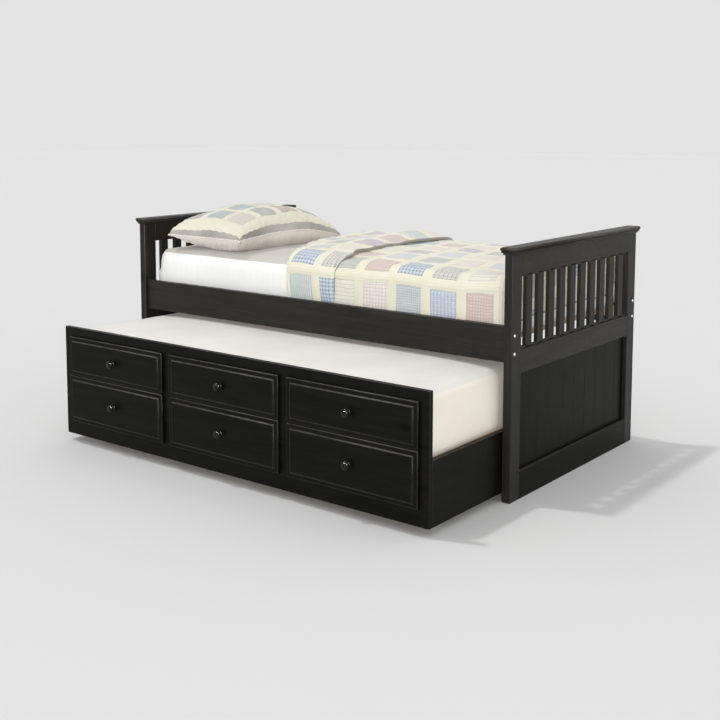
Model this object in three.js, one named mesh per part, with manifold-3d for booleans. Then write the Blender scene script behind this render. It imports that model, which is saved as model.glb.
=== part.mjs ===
// A twin trundle bed: two matching end panels joined by side rails, with a mattress on slats
// above and a wheeled trundle below that carries a second mattress and three real drawers.
//
// Units are millimetres and +Z is up. The design is laid out about the bed's own centre on the
// floor: +X runs from the head to the foot, and the trundle rolls out towards -Y. The last lines
// shift the whole so that the origin is at the bottom centre of the object as it stands.

import * as THREE from 'three';
import * as BufferGeometryUtils from 'three/addons/utils/BufferGeometryUtils.js';
import { RoundedBoxGeometry } from 'three/addons/geometries/RoundedBoxGeometry.js';
import ManifoldModule from 'manifold-3d';

const wasm = await ManifoldModule();
wasm.setup();

// ---------------------------------------------------------------- driving dimensions

const GAP = 0.3; // clearance between pieces that touch

const BED = {
  length: 2030, // outside of the posts, head to foot
  width: 1077, // outside of the posts, front to rear
  postHeight: 948,
  postThick: 35, // along X
  postWide: 70, // along Y
};
const HALF_L = BED.length / 2;
const HALF_W = BED.width / 2;
const INNER_X = HALF_L - BED.postThick; // inner face of an end panel's posts
const POST_INNER_Y = HALF_W - BED.postWide;

const END = {
  bottomRailTop: 112,
  panelTop: 486,
  midRailTop: 576,
  topRailBottom: 857,
  panelRecess: 16, // outer face of the boarding behind the posts' outer face
  panelThick: 15,
  grooves: 9,
  groovePitch: 96,
  grooveWide: 7,
  grooveDeep: 3.5,
  slats: 10,
  slatPitch: 89,
  slatWide: 46,
  slatThick: 17,
  slatInset: 12, // inner face of the slats from the posts' inner face
  filletHigh: 7,
  beadProud: 3, // moulding line along the top of the bottom rail
  beadHigh: 9,
};
const CAP = { thick: 16, overEnd: 11.5, overSide: 14, skirtHigh: 12, skirtProud: 4, round: 5 };

const RAIL = { bottom: 531, top: 669, thick: 22, setBack: 13 };
const RAIL_OUT_Y = HALF_W - RAIL.setBack;
const RAIL_IN_Y = RAIL_OUT_Y - RAIL.thick;
const CLEAT = { bottom: 562, high: 30, thick: 25, short: 4 };
const BED_SLAT = { count: 13, pitch: 150, wide: 72, thick: 18 };
const WEB = { thick: 2, wide: 30, y: 330 };
const DECK_TOP = CLEAT.bottom + CLEAT.high + BED_SLAT.thick + WEB.thick;

const MATTRESS = { length: 1905, width: 975, high: 203, round: 45 };
const QUILT = {
  foldLine: [[-105, -440], [-300, -100], [-396, 240], [-400, 440]], // head edge, front to rear
  freeLine: [[150, -440], [104, -300], [100, 0], [100, 440]], // edge of the part folded back
  tuck: 560,
  side: 13,
  over: 22,
  fold: 36,
  foldIn: 8, // the folded part's sides, in from the sides of the drop
  foot: 14,
  round: 12,
};
const PILLOW = { x0: -900, x1: -412, y0: -478, y1: 262, high: 190, round: 70 };

const TRUNDLE = {
  out: 478, // how far it stands out of the bed as stored
  halfLength: 976,
  floor: 33, // underside above the floor
  frontTop: 517,
  frontThick: 20,
  sideTop: 272,
  sideThick: 20,
  depth: 1024, // front face to back face
  backTop: 300,
  backThick: 18,
  deckTop: 262,
  deckThick: 12,
  dividerThick: 18,
};
const FRONT_Y = -(HALF_W + TRUNDLE.out); // front face of the trundle's front panel
const BEHIND_FRONT_Y = FRONT_Y + TRUNDLE.frontThick;
const BACK_Y = FRONT_Y + TRUNDLE.depth;
const TRUNDLE_MATTRESS = { length: 1905, width: 975, high: 234, round: 45, clear: 4 };

const DRAWER = {
  columns: [-638, 0, 638],
  names: ['left', 'middle', 'right'],
  wide: 596,
  falseBottom: 306,
  falseTop: 477,
  bottom: 97,
  top: 303,
  thick: 18,
  borderThick: 13,
  border: 19, // width of the stepped border around the field
  openingHalf: 283,
  openingBottom: 110,
  openingTop: 244,
  boxHalf: 276,
  boxBottom: 116,
  boxTop: 238,
  boxDepth: 480,
  wall: 12,
  floorThick: 6,
  floorAt: 128, // underside of the drawer's bottom board
  groove: 6,
};
const RUNNER = { thick: 15, reach: 55 };
const KNOB = {
  proud: 28,
  radius: 18,
  squash: 0.72, // depth of the ball against its radius
  foot: [[0, 0], [11, 0], [8.5, 4], [8, 8]], // radius and distance from the drawer front
  ballFrom: -58, // degrees round the ball where the stem meets it
  rings: 6,
  segments: 20,
  falseZ: 392,
  drawerZ: 202,
};

const CASTER = {
  radius: 25,
  wheelWide: 20,
  bore: 4.3,
  pin: 4,
  x: 900,
  frontY: BEHIND_FRONT_Y + 60,
  rearY: BACK_Y - 90,
  plate: 3,
  plateX: 44,
  plateY: 60,
  cheek: 2.5,
  cheekY: 24,
  cheekBelow: 8, // how far the cheeks reach below the axle
  play: 1, // between the wheel and each cheek
  pinOver: 1.5,
  chamfer: 2,
  top: 62, // underside of the board it is screwed to
  segments: 32,
};
const CROSS = { thick: 18, wide: 90 };

// ---------------------------------------------------------------- materials

const finish = (color, roughness, metalness = 0) => (
  new THREE.MeshStandardMaterial({ color, roughness, metalness })
);
const WOOD = finish(0x23221f, 0.42);
const KNOB_FINISH = finish(0x0d0d0d, 0.18);
const BARE_WOOD = finish(0xb99a70, 0.6);
const SHEET = finish(0xf0efec, 0.9);
const TICKING = finish(0xf1ede2, 0.9);
const QUILTING = finish(0xded9c4, 0.95);
const PILLOW_COVER = finish(0xcfc8b6, 0.95);
const STEEL = finish(0xb8babd, 0.3, 1);
const TREAD = finish(0x2b2b2d, 0.6);

// ---------------------------------------------------------------- solids

/** A closed three.js geometry as a solid that can be cut and joined. */
function toSolid(geometry) {
  const bare = geometry.clone();
  bare.deleteAttribute('normal');
  bare.deleteAttribute('uv');
  const merged = BufferGeometryUtils.mergeVertices(bare, 1e-4);
  return new wasm.Manifold(new wasm.Mesh({
    numProp: 3,
    vertProperties: new Float32Array(merged.attributes.position.array),
    triVerts: new Uint32Array(merged.index.array),
  }));
}

/** The geometry of a cut or joined solid. */
function toGeometry(solid) {
  const mesh = solid.getMesh();
  const geometry = new THREE.BufferGeometry();
  geometry.setAttribute('position', new THREE.BufferAttribute(new Float32Array(mesh.vertProperties), 3));
  geometry.setIndex(new THREE.BufferAttribute(new Uint32Array(mesh.triVerts), 1));
  geometry.computeVertexNormals();
  return geometry;
}

/** A plain block between two corners. */
function block(x0, x1, y0, y1, z0, z1) {
  const geometry = new THREE.BoxGeometry(x1 - x0, y1 - y0, z1 - z0);
  geometry.translate((x0 + x1) / 2, (y0 + y1) / 2, (z0 + z1) / 2);
  return geometry;
}

/** A block with rounded edges, for padded pieces. */
function softBlock(x0, x1, y0, y1, z0, z1, radius, segments = 3) {
  const geometry = new RoundedBoxGeometry(x1 - x0, y1 - y0, z1 - z0, segments, radius);
  geometry.translate((x0 + x1) / 2, (y0 + y1) / 2, (z0 + z1) / 2);
  return geometry;
}

/** Blocks or other closed geometries joined into one solid. */
function join(geometries) {
  return toGeometry(geometries.map(toSolid).reduce((whole, piece) => whole.add(piece)));
}

/** One closed geometry with others cut out of it. */
function cut(geometry, holes) {
  return toGeometry(holes.reduce((whole, hole) => whole.subtract(toSolid(hole)), toSolid(geometry)));
}

const root = new THREE.Group();

/** Adds one named piece to the model. */
function piece(name, geometry, material) {
  const mesh = new THREE.Mesh(geometry, material);
  mesh.name = name;
  root.add(mesh);
  return mesh;
}

// ---------------------------------------------------------------- end panels

/** The tongue-free boarding of an end panel, with V grooves down its outer face. */
function boarding(side) {
  const outer = HALF_L - END.panelRecess;
  const inner = outer - END.panelThick;
  const edge = POST_INNER_Y - GAP;
  const outline = new THREE.Shape();
  outline.moveTo(inner, -edge);
  outline.lineTo(outer, -edge);
  for (let i = 0; i < END.grooves; i += 1) {
    const y = (i - (END.grooves - 1) / 2) * END.groovePitch;
    outline.lineTo(outer, y - END.grooveWide / 2);
    outline.lineTo(outer - END.grooveDeep, y);
    outline.lineTo(outer, y + END.grooveWide / 2);
  }
  outline.lineTo(outer, edge);
  outline.lineTo(inner, edge);
  outline.closePath();
  const depth = END.panelTop - END.bottomRailTop - 2 * GAP;
  const geometry = new THREE.ExtrudeGeometry(outline, { depth, bevelEnabled: false });
  geometry.translate(0, 0, END.bottomRailTop + GAP);
  if (side < 0) geometry.rotateZ(Math.PI);
  return geometry;
}

/** The row of upright slats, held by fillet strips between them at both ends. */
function slatRow(x0, x1) {
  const low = END.midRailTop + GAP;
  const high = END.topRailBottom - GAP;
  const edge = POST_INNER_Y - GAP;
  const parts = [
    block(x0, x1, -edge, edge, low, low + END.filletHigh),
    block(x0, x1, -edge, edge, high - END.filletHigh, high),
  ];
  for (let i = 0; i < END.slats; i += 1) {
    const y = (i - (END.slats - 1) / 2) * END.slatPitch;
    parts.push(block(x0, x1, y - END.slatWide / 2, y + END.slatWide / 2, low, high));
  }
  return join(parts);
}

/** The cap: a board with rounded edges and a small moulding that wraps the posts and top rail. */
function capBoard() {
  const plan = new THREE.Shape();
  const halfX = BED.postThick / 2 + CAP.overSide - CAP.round;
  const halfY = HALF_W + CAP.overEnd - CAP.round;
  plan.moveTo(-halfX, -halfY);
  plan.lineTo(halfX, -halfY);
  plan.lineTo(halfX, halfY);
  plan.lineTo(-halfX, halfY);
  plan.closePath();
  const board = new THREE.ExtrudeGeometry(plan, {
    depth: CAP.thick - 2 * CAP.round,
    bevelEnabled: true,
    bevelSize: CAP.round,
    bevelThickness: CAP.round,
    bevelSegments: 3,
  });
  board.translate(0, 0, BED.postHeight + GAP + CAP.round);
  const grow = CAP.skirtProud;
  const outerX = BED.postThick / 2 + grow;
  const outerY = HALF_W + grow;
  const low = BED.postHeight - CAP.skirtHigh;
  const skirt = block(-outerX, outerX, -outerY, outerY, low, BED.postHeight + GAP + 1);
  const inside = block(
    -BED.postThick / 2 - GAP, BED.postThick / 2 + GAP, -HALF_W - GAP, HALF_W + GAP,
    low - 1, BED.postHeight + GAP,
  );
  return toGeometry(toSolid(board).add(toSolid(skirt)).subtract(toSolid(inside)));
}

/** One whole end panel. side is -1 at the head and +1 at the foot. */
function endPanel(name, side) {
  const x = (near, far) => (side > 0 ? [near, far] : [-far, -near]);
  const full = x(INNER_X, HALF_L);
  const rail = x(INNER_X + 1, HALF_L - 1);
  const edge = POST_INNER_Y - GAP;
  for (const [end, sign] of [['front', -1], ['rear', 1]]) {
    const y = sign < 0 ? [-HALF_W, -POST_INNER_Y] : [POST_INNER_Y, HALF_W];
    piece(`${name}_${end}_post`, block(...full, ...y, 0, BED.postHeight), WOOD);
  }
  piece(`${name}_top_rail`, block(...rail, -edge, edge, END.topRailBottom, BED.postHeight), WOOD);
  piece(`${name}_mid_rail`, block(...rail, -edge, edge, END.panelTop, END.midRailTop), WOOD);
  const bead = x(HALF_L - 1 - END.beadProud, HALF_L - 1 + END.beadProud);
  piece(`${name}_bottom_rail`, join([
    block(...rail, -edge, edge, 0, END.bottomRailTop - END.beadHigh),
    block(...x(INNER_X + 1, HALF_L - 1 - END.beadProud), -edge, edge, 0, END.bottomRailTop),
    block(...bead, -edge, edge, END.bottomRailTop - END.beadHigh - 1, END.bottomRailTop - 2),
  ]), WOOD);
  piece(`${name}_boarding`, boarding(side), WOOD);
  const slatIn = INNER_X + END.slatInset;
  piece(`${name}_slats`, slatRow(...x(slatIn, slatIn + END.slatThick)), WOOD);
  const cap = piece(`${name}_cap`, capBoard(), WOOD);
  cap.position.x = side * (HALF_L - BED.postThick / 2);
}

// ---------------------------------------------------------------- bed: rails, deck, bedding

/** Side rails with the cleats that carry the slats. */
function sideRails() {
  for (const [name, sign] of [['front', -1], ['rear', 1]]) {
    const y = (near, far) => (sign > 0 ? [near, far] : [-far, -near]);
    const end = INNER_X - GAP;
    piece(`${name}_side_rail`, block(-end, end, ...y(RAIL_IN_Y, RAIL_OUT_Y), RAIL.bottom, RAIL.top), WOOD);
    const cleatY = y(RAIL_IN_Y - GAP - CLEAT.thick, RAIL_IN_Y - GAP);
    const cleatEnd = end - CLEAT.short;
    piece(`${name}_cleat`, block(
      -cleatEnd, cleatEnd, ...cleatY, CLEAT.bottom, CLEAT.bottom + CLEAT.high,
    ), BARE_WOOD);
  }
}

/** Cross slats joined by two webbing straps, laid on the cleats. */
function slatDeck() {
  const low = CLEAT.bottom + CLEAT.high + GAP;
  const edge = RAIL_IN_Y - 1;
  const parts = [];
  for (let i = 0; i < BED_SLAT.count; i += 1) {
    const x = (i - (BED_SLAT.count - 1) / 2) * BED_SLAT.pitch;
    parts.push(block(x - BED_SLAT.wide / 2, x + BED_SLAT.wide / 2, -edge, edge, low, low + BED_SLAT.thick));
  }
  const reach = ((BED_SLAT.count - 1) / 2) * BED_SLAT.pitch + BED_SLAT.wide / 2;
  for (const y of [-WEB.y, WEB.y]) {
    const top = low + BED_SLAT.thick;
    parts.push(block(-reach, reach, y - WEB.wide / 2, y + WEB.wide / 2, top - 0.5, top + WEB.thick - GAP));
  }
  piece('bed_slat_deck', join(parts), BARE_WOOD);
}

/** A flat plan, as [x, y] corners, given a height. */
function prism(corners, z0, z1) {
  const plan = new THREE.Shape(corners.map(([x, y]) => new THREE.Vector2(x, y)));
  const geometry = new THREE.ExtrudeGeometry(plan, { depth: z1 - z0, bevelEnabled: false });
  geometry.translate(0, 0, z0);
  return geometry;
}

/** The quilt over a mattress's foot half, tucked at its sides, its head end folded back on top. */
function quilt(halfX, halfY, top) {
  const outY = halfY + QUILT.side;
  const outX = halfX + QUILT.foot;
  const headX = Math.min(...QUILT.foldLine.map(([x]) => x));
  const foldX = QUILT.foldLine[0][0];
  const freeX = QUILT.freeLine[0][0];
  const rearX = QUILT.freeLine.at(-1)[0];
  const foldY = outY - QUILT.foldIn;
  const far = outY + 100; // beyond the cloth's sides, for the blocks that trim it
  const cover = softBlock(headX - 40, outX, -outY, outY, QUILT.tuck, top + QUILT.over, QUILT.round);
  const ahead = prism([
    [headX - 100, -far], [foldX, -far], ...QUILT.foldLine, [headX, far], [headX - 100, far],
  ], QUILT.tuck - 10, top + 100);
  const turned = prism([
    [freeX, -foldY], ...QUILT.freeLine, [rearX, foldY],
    [headX, foldY], ...[...QUILT.foldLine].reverse(), [foldX, -foldY],
  ], top - 20, top + QUILT.over + QUILT.fold);
  const mattress = softBlock(
    -halfX, halfX + GAP, -halfY - GAP, halfY + GAP, QUILT.tuck - 60, top + GAP, MATTRESS.round - 1,
  );
  const below = block(-HALF_L, HALF_L, -far, far, QUILT.tuck - 80, DECK_TOP + 8);
  const solid = toSolid(cover).add(toSolid(turned));
  return toGeometry(solid.subtract(toSolid(ahead)).subtract(toSolid(mattress)).subtract(toSolid(below)));
}

/** Upper mattress, the quilt over its foot half, and the pillow at the head. */
function bedding() {
  const halfX = MATTRESS.length / 2;
  const halfY = MATTRESS.width / 2;
  const low = DECK_TOP + GAP;
  const top = low + MATTRESS.high;
  piece('bed_mattress', softBlock(-halfX, halfX, -halfY, halfY, low, top, MATTRESS.round), SHEET);

  piece('quilt', quilt(halfX, halfY, top), QUILTING);

  const rest = top + GAP + 0.5;
  piece('pillow', softBlock(
    PILLOW.x0, PILLOW.x1, PILLOW.y0, PILLOW.y1, rest, rest + PILLOW.high, PILLOW.round,
  ), PILLOW_COVER);
}

// ---------------------------------------------------------------- trundle

/** The front panel, with the openings for the three real drawers. */
function trundleFront() {
  const face = block(
    -TRUNDLE.halfLength, TRUNDLE.halfLength, FRONT_Y, BEHIND_FRONT_Y, TRUNDLE.floor, TRUNDLE.frontTop,
  );
  const openings = DRAWER.columns.map((x) => block(
    x - DRAWER.openingHalf, x + DRAWER.openingHalf, FRONT_Y - 1, BEHIND_FRONT_Y + 1,
    DRAWER.openingBottom, DRAWER.openingTop,
  ));
  piece('trundle_front', cut(face, openings), WOOD);
}

/** An upright board with a runner for a drawer on one or both of its faces. */
function runnerBoard(x0, x1, top, sides) {
  const y0 = BEHIND_FRONT_Y + GAP;
  const y1 = BACK_Y - TRUNDLE.backThick - GAP;
  const runnerTop = DRAWER.boxBottom - GAP;
  const parts = [];
  const base = sides.length > 1 ? CASTER.top + CROSS.thick + GAP : TRUNDLE.floor;
  parts.push(block(x0, x1, y0, y1, base, top));
  for (const side of sides) {
    const from = side > 0 ? x1 - 1 : x0 + 1;
    const to = side > 0 ? x1 + RUNNER.reach : x0 - RUNNER.reach;
    const reach = [Math.min(from, to), Math.max(from, to)];
    parts.push(block(...reach, y0, y1, runnerTop - RUNNER.thick, runnerTop));
  }
  return join(parts);
}

/** Sides, dividers, back, deck and the cross rails that carry the casters. */
function trundleBox() {
  const half = TRUNDLE.halfLength;
  const inner = half - TRUNDLE.sideThick;
  piece('trundle_left_side', runnerBoard(-half, -inner, TRUNDLE.sideTop, [1]), WOOD);
  piece('trundle_right_side', runnerBoard(inner, half, TRUNDLE.sideTop, [-1]), WOOD);
  const middle = DRAWER.columns[2] / 2;
  const dividerTop = TRUNDLE.deckTop - TRUNDLE.deckThick - GAP;
  for (const [name, x] of [['left', -middle], ['right', middle]]) {
    const t = TRUNDLE.dividerThick / 2;
    piece(`trundle_${name}_divider`, runnerBoard(x - t, x + t, dividerTop, [-1, 1]), BARE_WOOD);
  }
  const backIn = BACK_Y - TRUNDLE.backThick;
  piece('trundle_back', block(-half, half, backIn, BACK_Y, TRUNDLE.floor, TRUNDLE.backTop), WOOD);
  piece('trundle_deck', block(
    -inner + GAP, inner - GAP, BEHIND_FRONT_Y + GAP, backIn - GAP,
    TRUNDLE.deckTop - TRUNDLE.deckThick, TRUNDLE.deckTop,
  ), BARE_WOOD);
  for (const [name, y] of [['front', CASTER.frontY], ['rear', CASTER.rearY]]) {
    piece(`trundle_${name}_cross_rail`, block(
      -inner + GAP, inner - GAP, y - CROSS.wide / 2, y + CROSS.wide / 2,
      CASTER.top, CASTER.top + CROSS.thick,
    ), BARE_WOOD);
  }
}

/** The mattress on the trundle's deck. */
function trundleMattress() {
  const halfX = TRUNDLE_MATTRESS.length / 2;
  const y0 = BEHIND_FRONT_Y + TRUNDLE_MATTRESS.clear;
  const low = TRUNDLE.deckTop + GAP;
  piece('trundle_mattress', softBlock(
    -halfX, halfX, y0, y0 + TRUNDLE_MATTRESS.width,
    low, low + TRUNDLE_MATTRESS.high, TRUNDLE_MATTRESS.round,
  ), TICKING);
}

/** A drawer front: a raised field inside a stepped border. */
function drawerFront(x, z0, z1) {
  const back = FRONT_Y - GAP;
  const half = DRAWER.wide / 2;
  const b = DRAWER.border;
  return join([
    block(x - half, x + half, back - DRAWER.borderThick, back, z0, z1),
    block(x - half + b, x + half - b, back - DRAWER.thick, back - 1, z0 + b, z1 - b),
  ]);
}

/** A round turned knob on a short stem, its axis along Y. */
function knob(x, z) {
  const base = FRONT_Y - GAP - DRAWER.thick - GAP;
  const r = KNOB.radius;
  const ballCentre = KNOB.proud - r * KNOB.squash;
  const outline = KNOB.foot.map(([radius, y]) => new THREE.Vector2(radius, y));
  for (let i = 0; i <= KNOB.rings; i += 1) {
    const a = THREE.MathUtils.degToRad(KNOB.ballFrom + ((90 - KNOB.ballFrom) * i) / KNOB.rings);
    const radius = i === KNOB.rings ? 0 : r * Math.cos(a);
    outline.push(new THREE.Vector2(radius, ballCentre + r * KNOB.squash * Math.sin(a)));
  }
  const geometry = new THREE.LatheGeometry(outline, KNOB.segments);
  geometry.rotateZ(Math.PI);
  geometry.translate(x, base, z);
  return geometry;
}

/** The open box of a drawer, grooved for its bottom board. */
function drawerBox(x) {
  const y0 = FRONT_Y;
  const y1 = y0 + DRAWER.boxDepth;
  const h = DRAWER.boxHalf;
  const w = DRAWER.wall;
  const outer = block(x - h, x + h, y0, y1, DRAWER.boxBottom, DRAWER.boxTop);
  const inside = block(x - h + w, x + h - w, y0 + w, y1 - w, DRAWER.boxBottom - 1, DRAWER.boxTop + 1);
  const g = DRAWER.groove;
  const groove = block(
    x - h + w - g, x + h - w + g, y0 + w - g, y1 - w + g,
    DRAWER.floorAt, DRAWER.floorAt + DRAWER.floorThick,
  );
  return cut(outer, [inside, groove]);
}

/** The bottom board of a drawer, held in the box's groove. */
function drawerBottom(x) {
  const h = DRAWER.boxHalf - DRAWER.wall + DRAWER.groove - GAP;
  const y0 = FRONT_Y + DRAWER.wall - DRAWER.groove + GAP;
  const y1 = FRONT_Y + DRAWER.boxDepth - DRAWER.wall + DRAWER.groove - GAP;
  return block(x - h, x + h, y0, y1, DRAWER.floorAt + GAP, DRAWER.floorAt + DRAWER.floorThick - GAP);
}

/** Three columns: a fixed false front above and a real drawer below, each with its knob. */
function drawers() {
  DRAWER.columns.forEach((x, i) => {
    const name = DRAWER.names[i];
    piece(`false_front_${name}`, drawerFront(x, DRAWER.falseBottom, DRAWER.falseTop), WOOD);
    piece(`false_knob_${name}`, knob(x, KNOB.falseZ), KNOB_FINISH);
    piece(`drawer_front_${name}`, drawerFront(x, DRAWER.bottom, DRAWER.top), WOOD);
    piece(`drawer_knob_${name}`, knob(x, KNOB.drawerZ), KNOB_FINISH);
    piece(`drawer_box_${name}`, drawerBox(x), BARE_WOOD);
    piece(`drawer_bottom_${name}`, drawerBottom(x), BARE_WOOD);
  });
}

/** A caster wheel with its bore, its axle along X. */
function wheel(x, y) {
  const half = CASTER.wheelWide / 2;
  const r = CASTER.radius;
  const c = CASTER.chamfer;
  const outline = [
    [CASTER.bore, -half], [r - c, -half], [r, -half + c],
    [r, half - c], [r - c, half], [CASTER.bore, half], [CASTER.bore, -half],
  ].map(([radius, y]) => new THREE.Vector2(radius, y));
  const geometry = new THREE.LatheGeometry(outline, CASTER.segments);
  geometry.rotateZ(Math.PI / 2);
  geometry.translate(x, y, r);
  return geometry;
}

/** A fixed caster's plate, cheeks and axle pin. */
function casterBracket(x, y) {
  const top = CASTER.top - GAP;
  const cheekIn = CASTER.wheelWide / 2 + CASTER.play;
  const cheekOut = cheekIn + CASTER.cheek;
  const low = CASTER.radius - CASTER.cheekBelow;
  const parts = [block(
    x - CASTER.plateX / 2, x + CASTER.plateX / 2, y - CASTER.plateY / 2, y + CASTER.plateY / 2,
    top - CASTER.plate, top,
  )];
  for (const side of [-1, 1]) {
    const xs = side > 0 ? [x + cheekIn, x + cheekOut] : [x - cheekOut, x - cheekIn];
    parts.push(block(...xs, y - CASTER.cheekY / 2, y + CASTER.cheekY / 2, low, top - 1));
  }
  const pinLong = 2 * (cheekOut + CASTER.pinOver);
  const pin = new THREE.CylinderGeometry(CASTER.pin, CASTER.pin, pinLong, CASTER.segments);
  pin.rotateZ(Math.PI / 2);
  pin.translate(x, y, CASTER.radius);
  parts.push(pin);
  return join(parts);
}

/** Four fixed casters, so that the trundle rolls straight in and out. */
function casters() {
  for (const [row, y] of [['front', CASTER.frontY], ['rear', CASTER.rearY]]) {
    for (const [end, x] of [['left', -CASTER.x], ['right', CASTER.x]]) {
      piece(`caster_wheel_${row}_${end}`, wheel(x, y), TREAD);
      piece(`caster_bracket_${row}_${end}`, casterBracket(x, y), STEEL);
    }
  }
}

// ---------------------------------------------------------------- the bed

endPanel('headboard', -1);
endPanel('footboard', 1);
sideRails();
slatDeck();
bedding();
trundleFront();
trundleBox();
trundleMattress();
drawers();
casters();

// The origin goes to the bottom centre of the object as it stands, trundle part-way out.
const frontmost = FRONT_Y - GAP - DRAWER.thick - GAP - KNOB.proud;
const rearmost = HALF_W + CAP.overEnd;
root.position.y = -(frontmost + rearmost) / 2;

export default root;
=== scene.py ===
"""A twin trundle bed: stained pine frame, wheeled trundle with drawers, mattresses, quilt and pillow.

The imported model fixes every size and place. This script dresses it: timber with softened edges and
grain, turned knobs, bolts, padded bedding and a pieced quilt. Lengths are in metres.
"""

from __future__ import annotations

import logging
import math
from collections.abc import Iterable, Sequence
from dataclasses import dataclass, field, replace
from enum import Enum

import bmesh
import bpy
import numpy as np
from mathutils import Matrix, Vector, noise

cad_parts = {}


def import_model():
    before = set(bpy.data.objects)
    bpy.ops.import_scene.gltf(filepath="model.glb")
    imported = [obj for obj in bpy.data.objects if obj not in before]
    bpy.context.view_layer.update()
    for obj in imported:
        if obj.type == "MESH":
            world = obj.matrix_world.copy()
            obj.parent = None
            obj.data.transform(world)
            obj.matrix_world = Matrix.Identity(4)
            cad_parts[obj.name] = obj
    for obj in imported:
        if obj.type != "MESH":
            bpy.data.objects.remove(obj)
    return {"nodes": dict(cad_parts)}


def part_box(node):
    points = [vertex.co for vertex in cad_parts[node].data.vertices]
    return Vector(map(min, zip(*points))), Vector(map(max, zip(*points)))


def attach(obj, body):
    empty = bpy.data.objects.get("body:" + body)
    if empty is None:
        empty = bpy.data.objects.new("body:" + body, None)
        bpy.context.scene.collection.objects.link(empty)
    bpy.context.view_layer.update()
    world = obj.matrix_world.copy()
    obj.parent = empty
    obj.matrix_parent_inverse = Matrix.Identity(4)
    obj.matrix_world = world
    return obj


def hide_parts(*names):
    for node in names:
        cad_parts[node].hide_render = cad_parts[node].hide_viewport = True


LOG = logging.getLogger("trundle_bed")

Pair = tuple[float, float]
Triple = tuple[float, float, float]
Colour = Triple
Array = np.ndarray
Mesh = bpy.types.Mesh
Object = bpy.types.Object
Material = bpy.types.Material
Socket = bpy.types.NodeSocket
Sockets = bpy.types.bpy_prop_collection
Solid = tuple[list[Vector], list[list[int]]]
Value = Socket | float | int | Sequence[float]
Inputs = dict[str | int, Value]


# ---------------------------------------------------------------- node graphs


class Graph:
    """A node tree being filled in, for materials and for Geometry Nodes."""

    def __init__(self, tree: bpy.types.NodeTree) -> None:
        """Keeps the tree to fill."""
        self.tree = tree

    def node(self, kind: str, inputs: Inputs | None = None, **settings: object) -> bpy.types.Node:
        """Adds a node.

        Args:
            kind: The node's type name.
            inputs: Values or sockets for its inputs, by name or index.
            **settings: Properties of the node itself.

        Returns:
            The new node.
        """
        made = self.tree.nodes.new(kind)
        for name, value in settings.items():
            setattr(made, name, value)
        for key, value in (inputs or {}).items():
            if isinstance(value, Socket):
                self.tree.links.new(value, made.inputs[key])
            else:
                made.inputs[key].default_value = value
        return made

    def place(self) -> Socket:
        """The object's own coordinates."""
        return self.node("ShaderNodeTexCoord").outputs["Object"]

    def stretched(self, vector: Value, scale: Sequence[float]) -> Socket:
        """Scales a vector along each axis."""
        return self.node("ShaderNodeMapping", {"Vector": vector, "Scale": scale}).outputs[0]

    def math(self, operation: str, *values: Value) -> Socket:
        """Adds a Math node with its inputs in order."""
        return self.node("ShaderNodeMath", dict(enumerate(values)), operation=operation).outputs[0]

    def blend(self, factor: Value, first: Value, second: Value) -> Socket:
        """Mixes two colours, sockets or tuples. A factor of 1 is all of the second."""
        ends = {6 + i: (*c, 1.0) if isinstance(c, tuple) else c for i, c in enumerate((first, second))}
        return self.node("ShaderNodeMix", {0: factor, **ends}, data_type="RGBA").outputs[2]

    def span(self, value: Value, low: float, high: float, to_low: float = 0, to_high: float = 1) -> Socket:
        """Maps the range from low to high onto another, held within it."""
        ends = {"Value": value, "From Min": low, "From Max": high, "To Min": to_low, "To Max": to_high}
        return self.node("ShaderNodeMapRange", ends, clamp=True).outputs[0]

    def noise(self, vector: Value, scale: float, detail: float = 3, rough: float = 0.55, warp: float = 0
              ) -> Socket:
        """Adds a noise texture, read at a vector, and returns its value."""
        inputs = {"Vector": vector, "Scale": scale, "Detail": detail, "Roughness": rough, "Distortion": warp}
        return self.node("ShaderNodeTexNoise", inputs).outputs["Fac"]

    def bump(self, height: Value, depth: float, strength: float = 1.0, onto: Socket | None = None) -> Socket:
        """Adds a bump, where a height of 1 is so many metres deep, laid on another normal if there is one."""
        inputs = {"Height": height, "Distance": depth, "Strength": strength}
        return self.node("ShaderNodeBump", inputs if onto is None else {**inputs, "Normal": onto}).outputs[0]


# ---------------------------------------------------------------- finishes


@dataclass(frozen=True)
class Finish:
    """A procedural finish, made as a node material when it is first asked for."""

    name: str

    def material(self) -> Material:
        """Makes the finish, or finds it if it is made.

        Returns:
            The material.
        """
        if self.name in bpy.data.materials:
            return bpy.data.materials[self.name]
        material = bpy.data.materials.new(self.name)
        material.use_nodes = True
        material.node_tree.nodes.clear()
        graph = Graph(material.node_tree)
        shader = graph.node("ShaderNodeBsdfPrincipled", self.surface(graph, graph.place()))
        graph.node("ShaderNodeOutputMaterial", {"Surface": shader.outputs[0]})
        return material

    def surface(self, graph: Graph, place: Socket) -> Inputs:
        """Fills the graph at the object coordinates and returns the shader's inputs by name."""
        raise NotImplementedError


class Grain(Enum):
    """The way a board's grain runs, as how fast its figure changes along each axis."""

    ALONG_X = (1.0, 16.0, 16.0)
    ALONG_Y = (16.0, 1.0, 16.0)
    ALONG_Z = (16.0, 16.0, 1.0)


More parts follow.
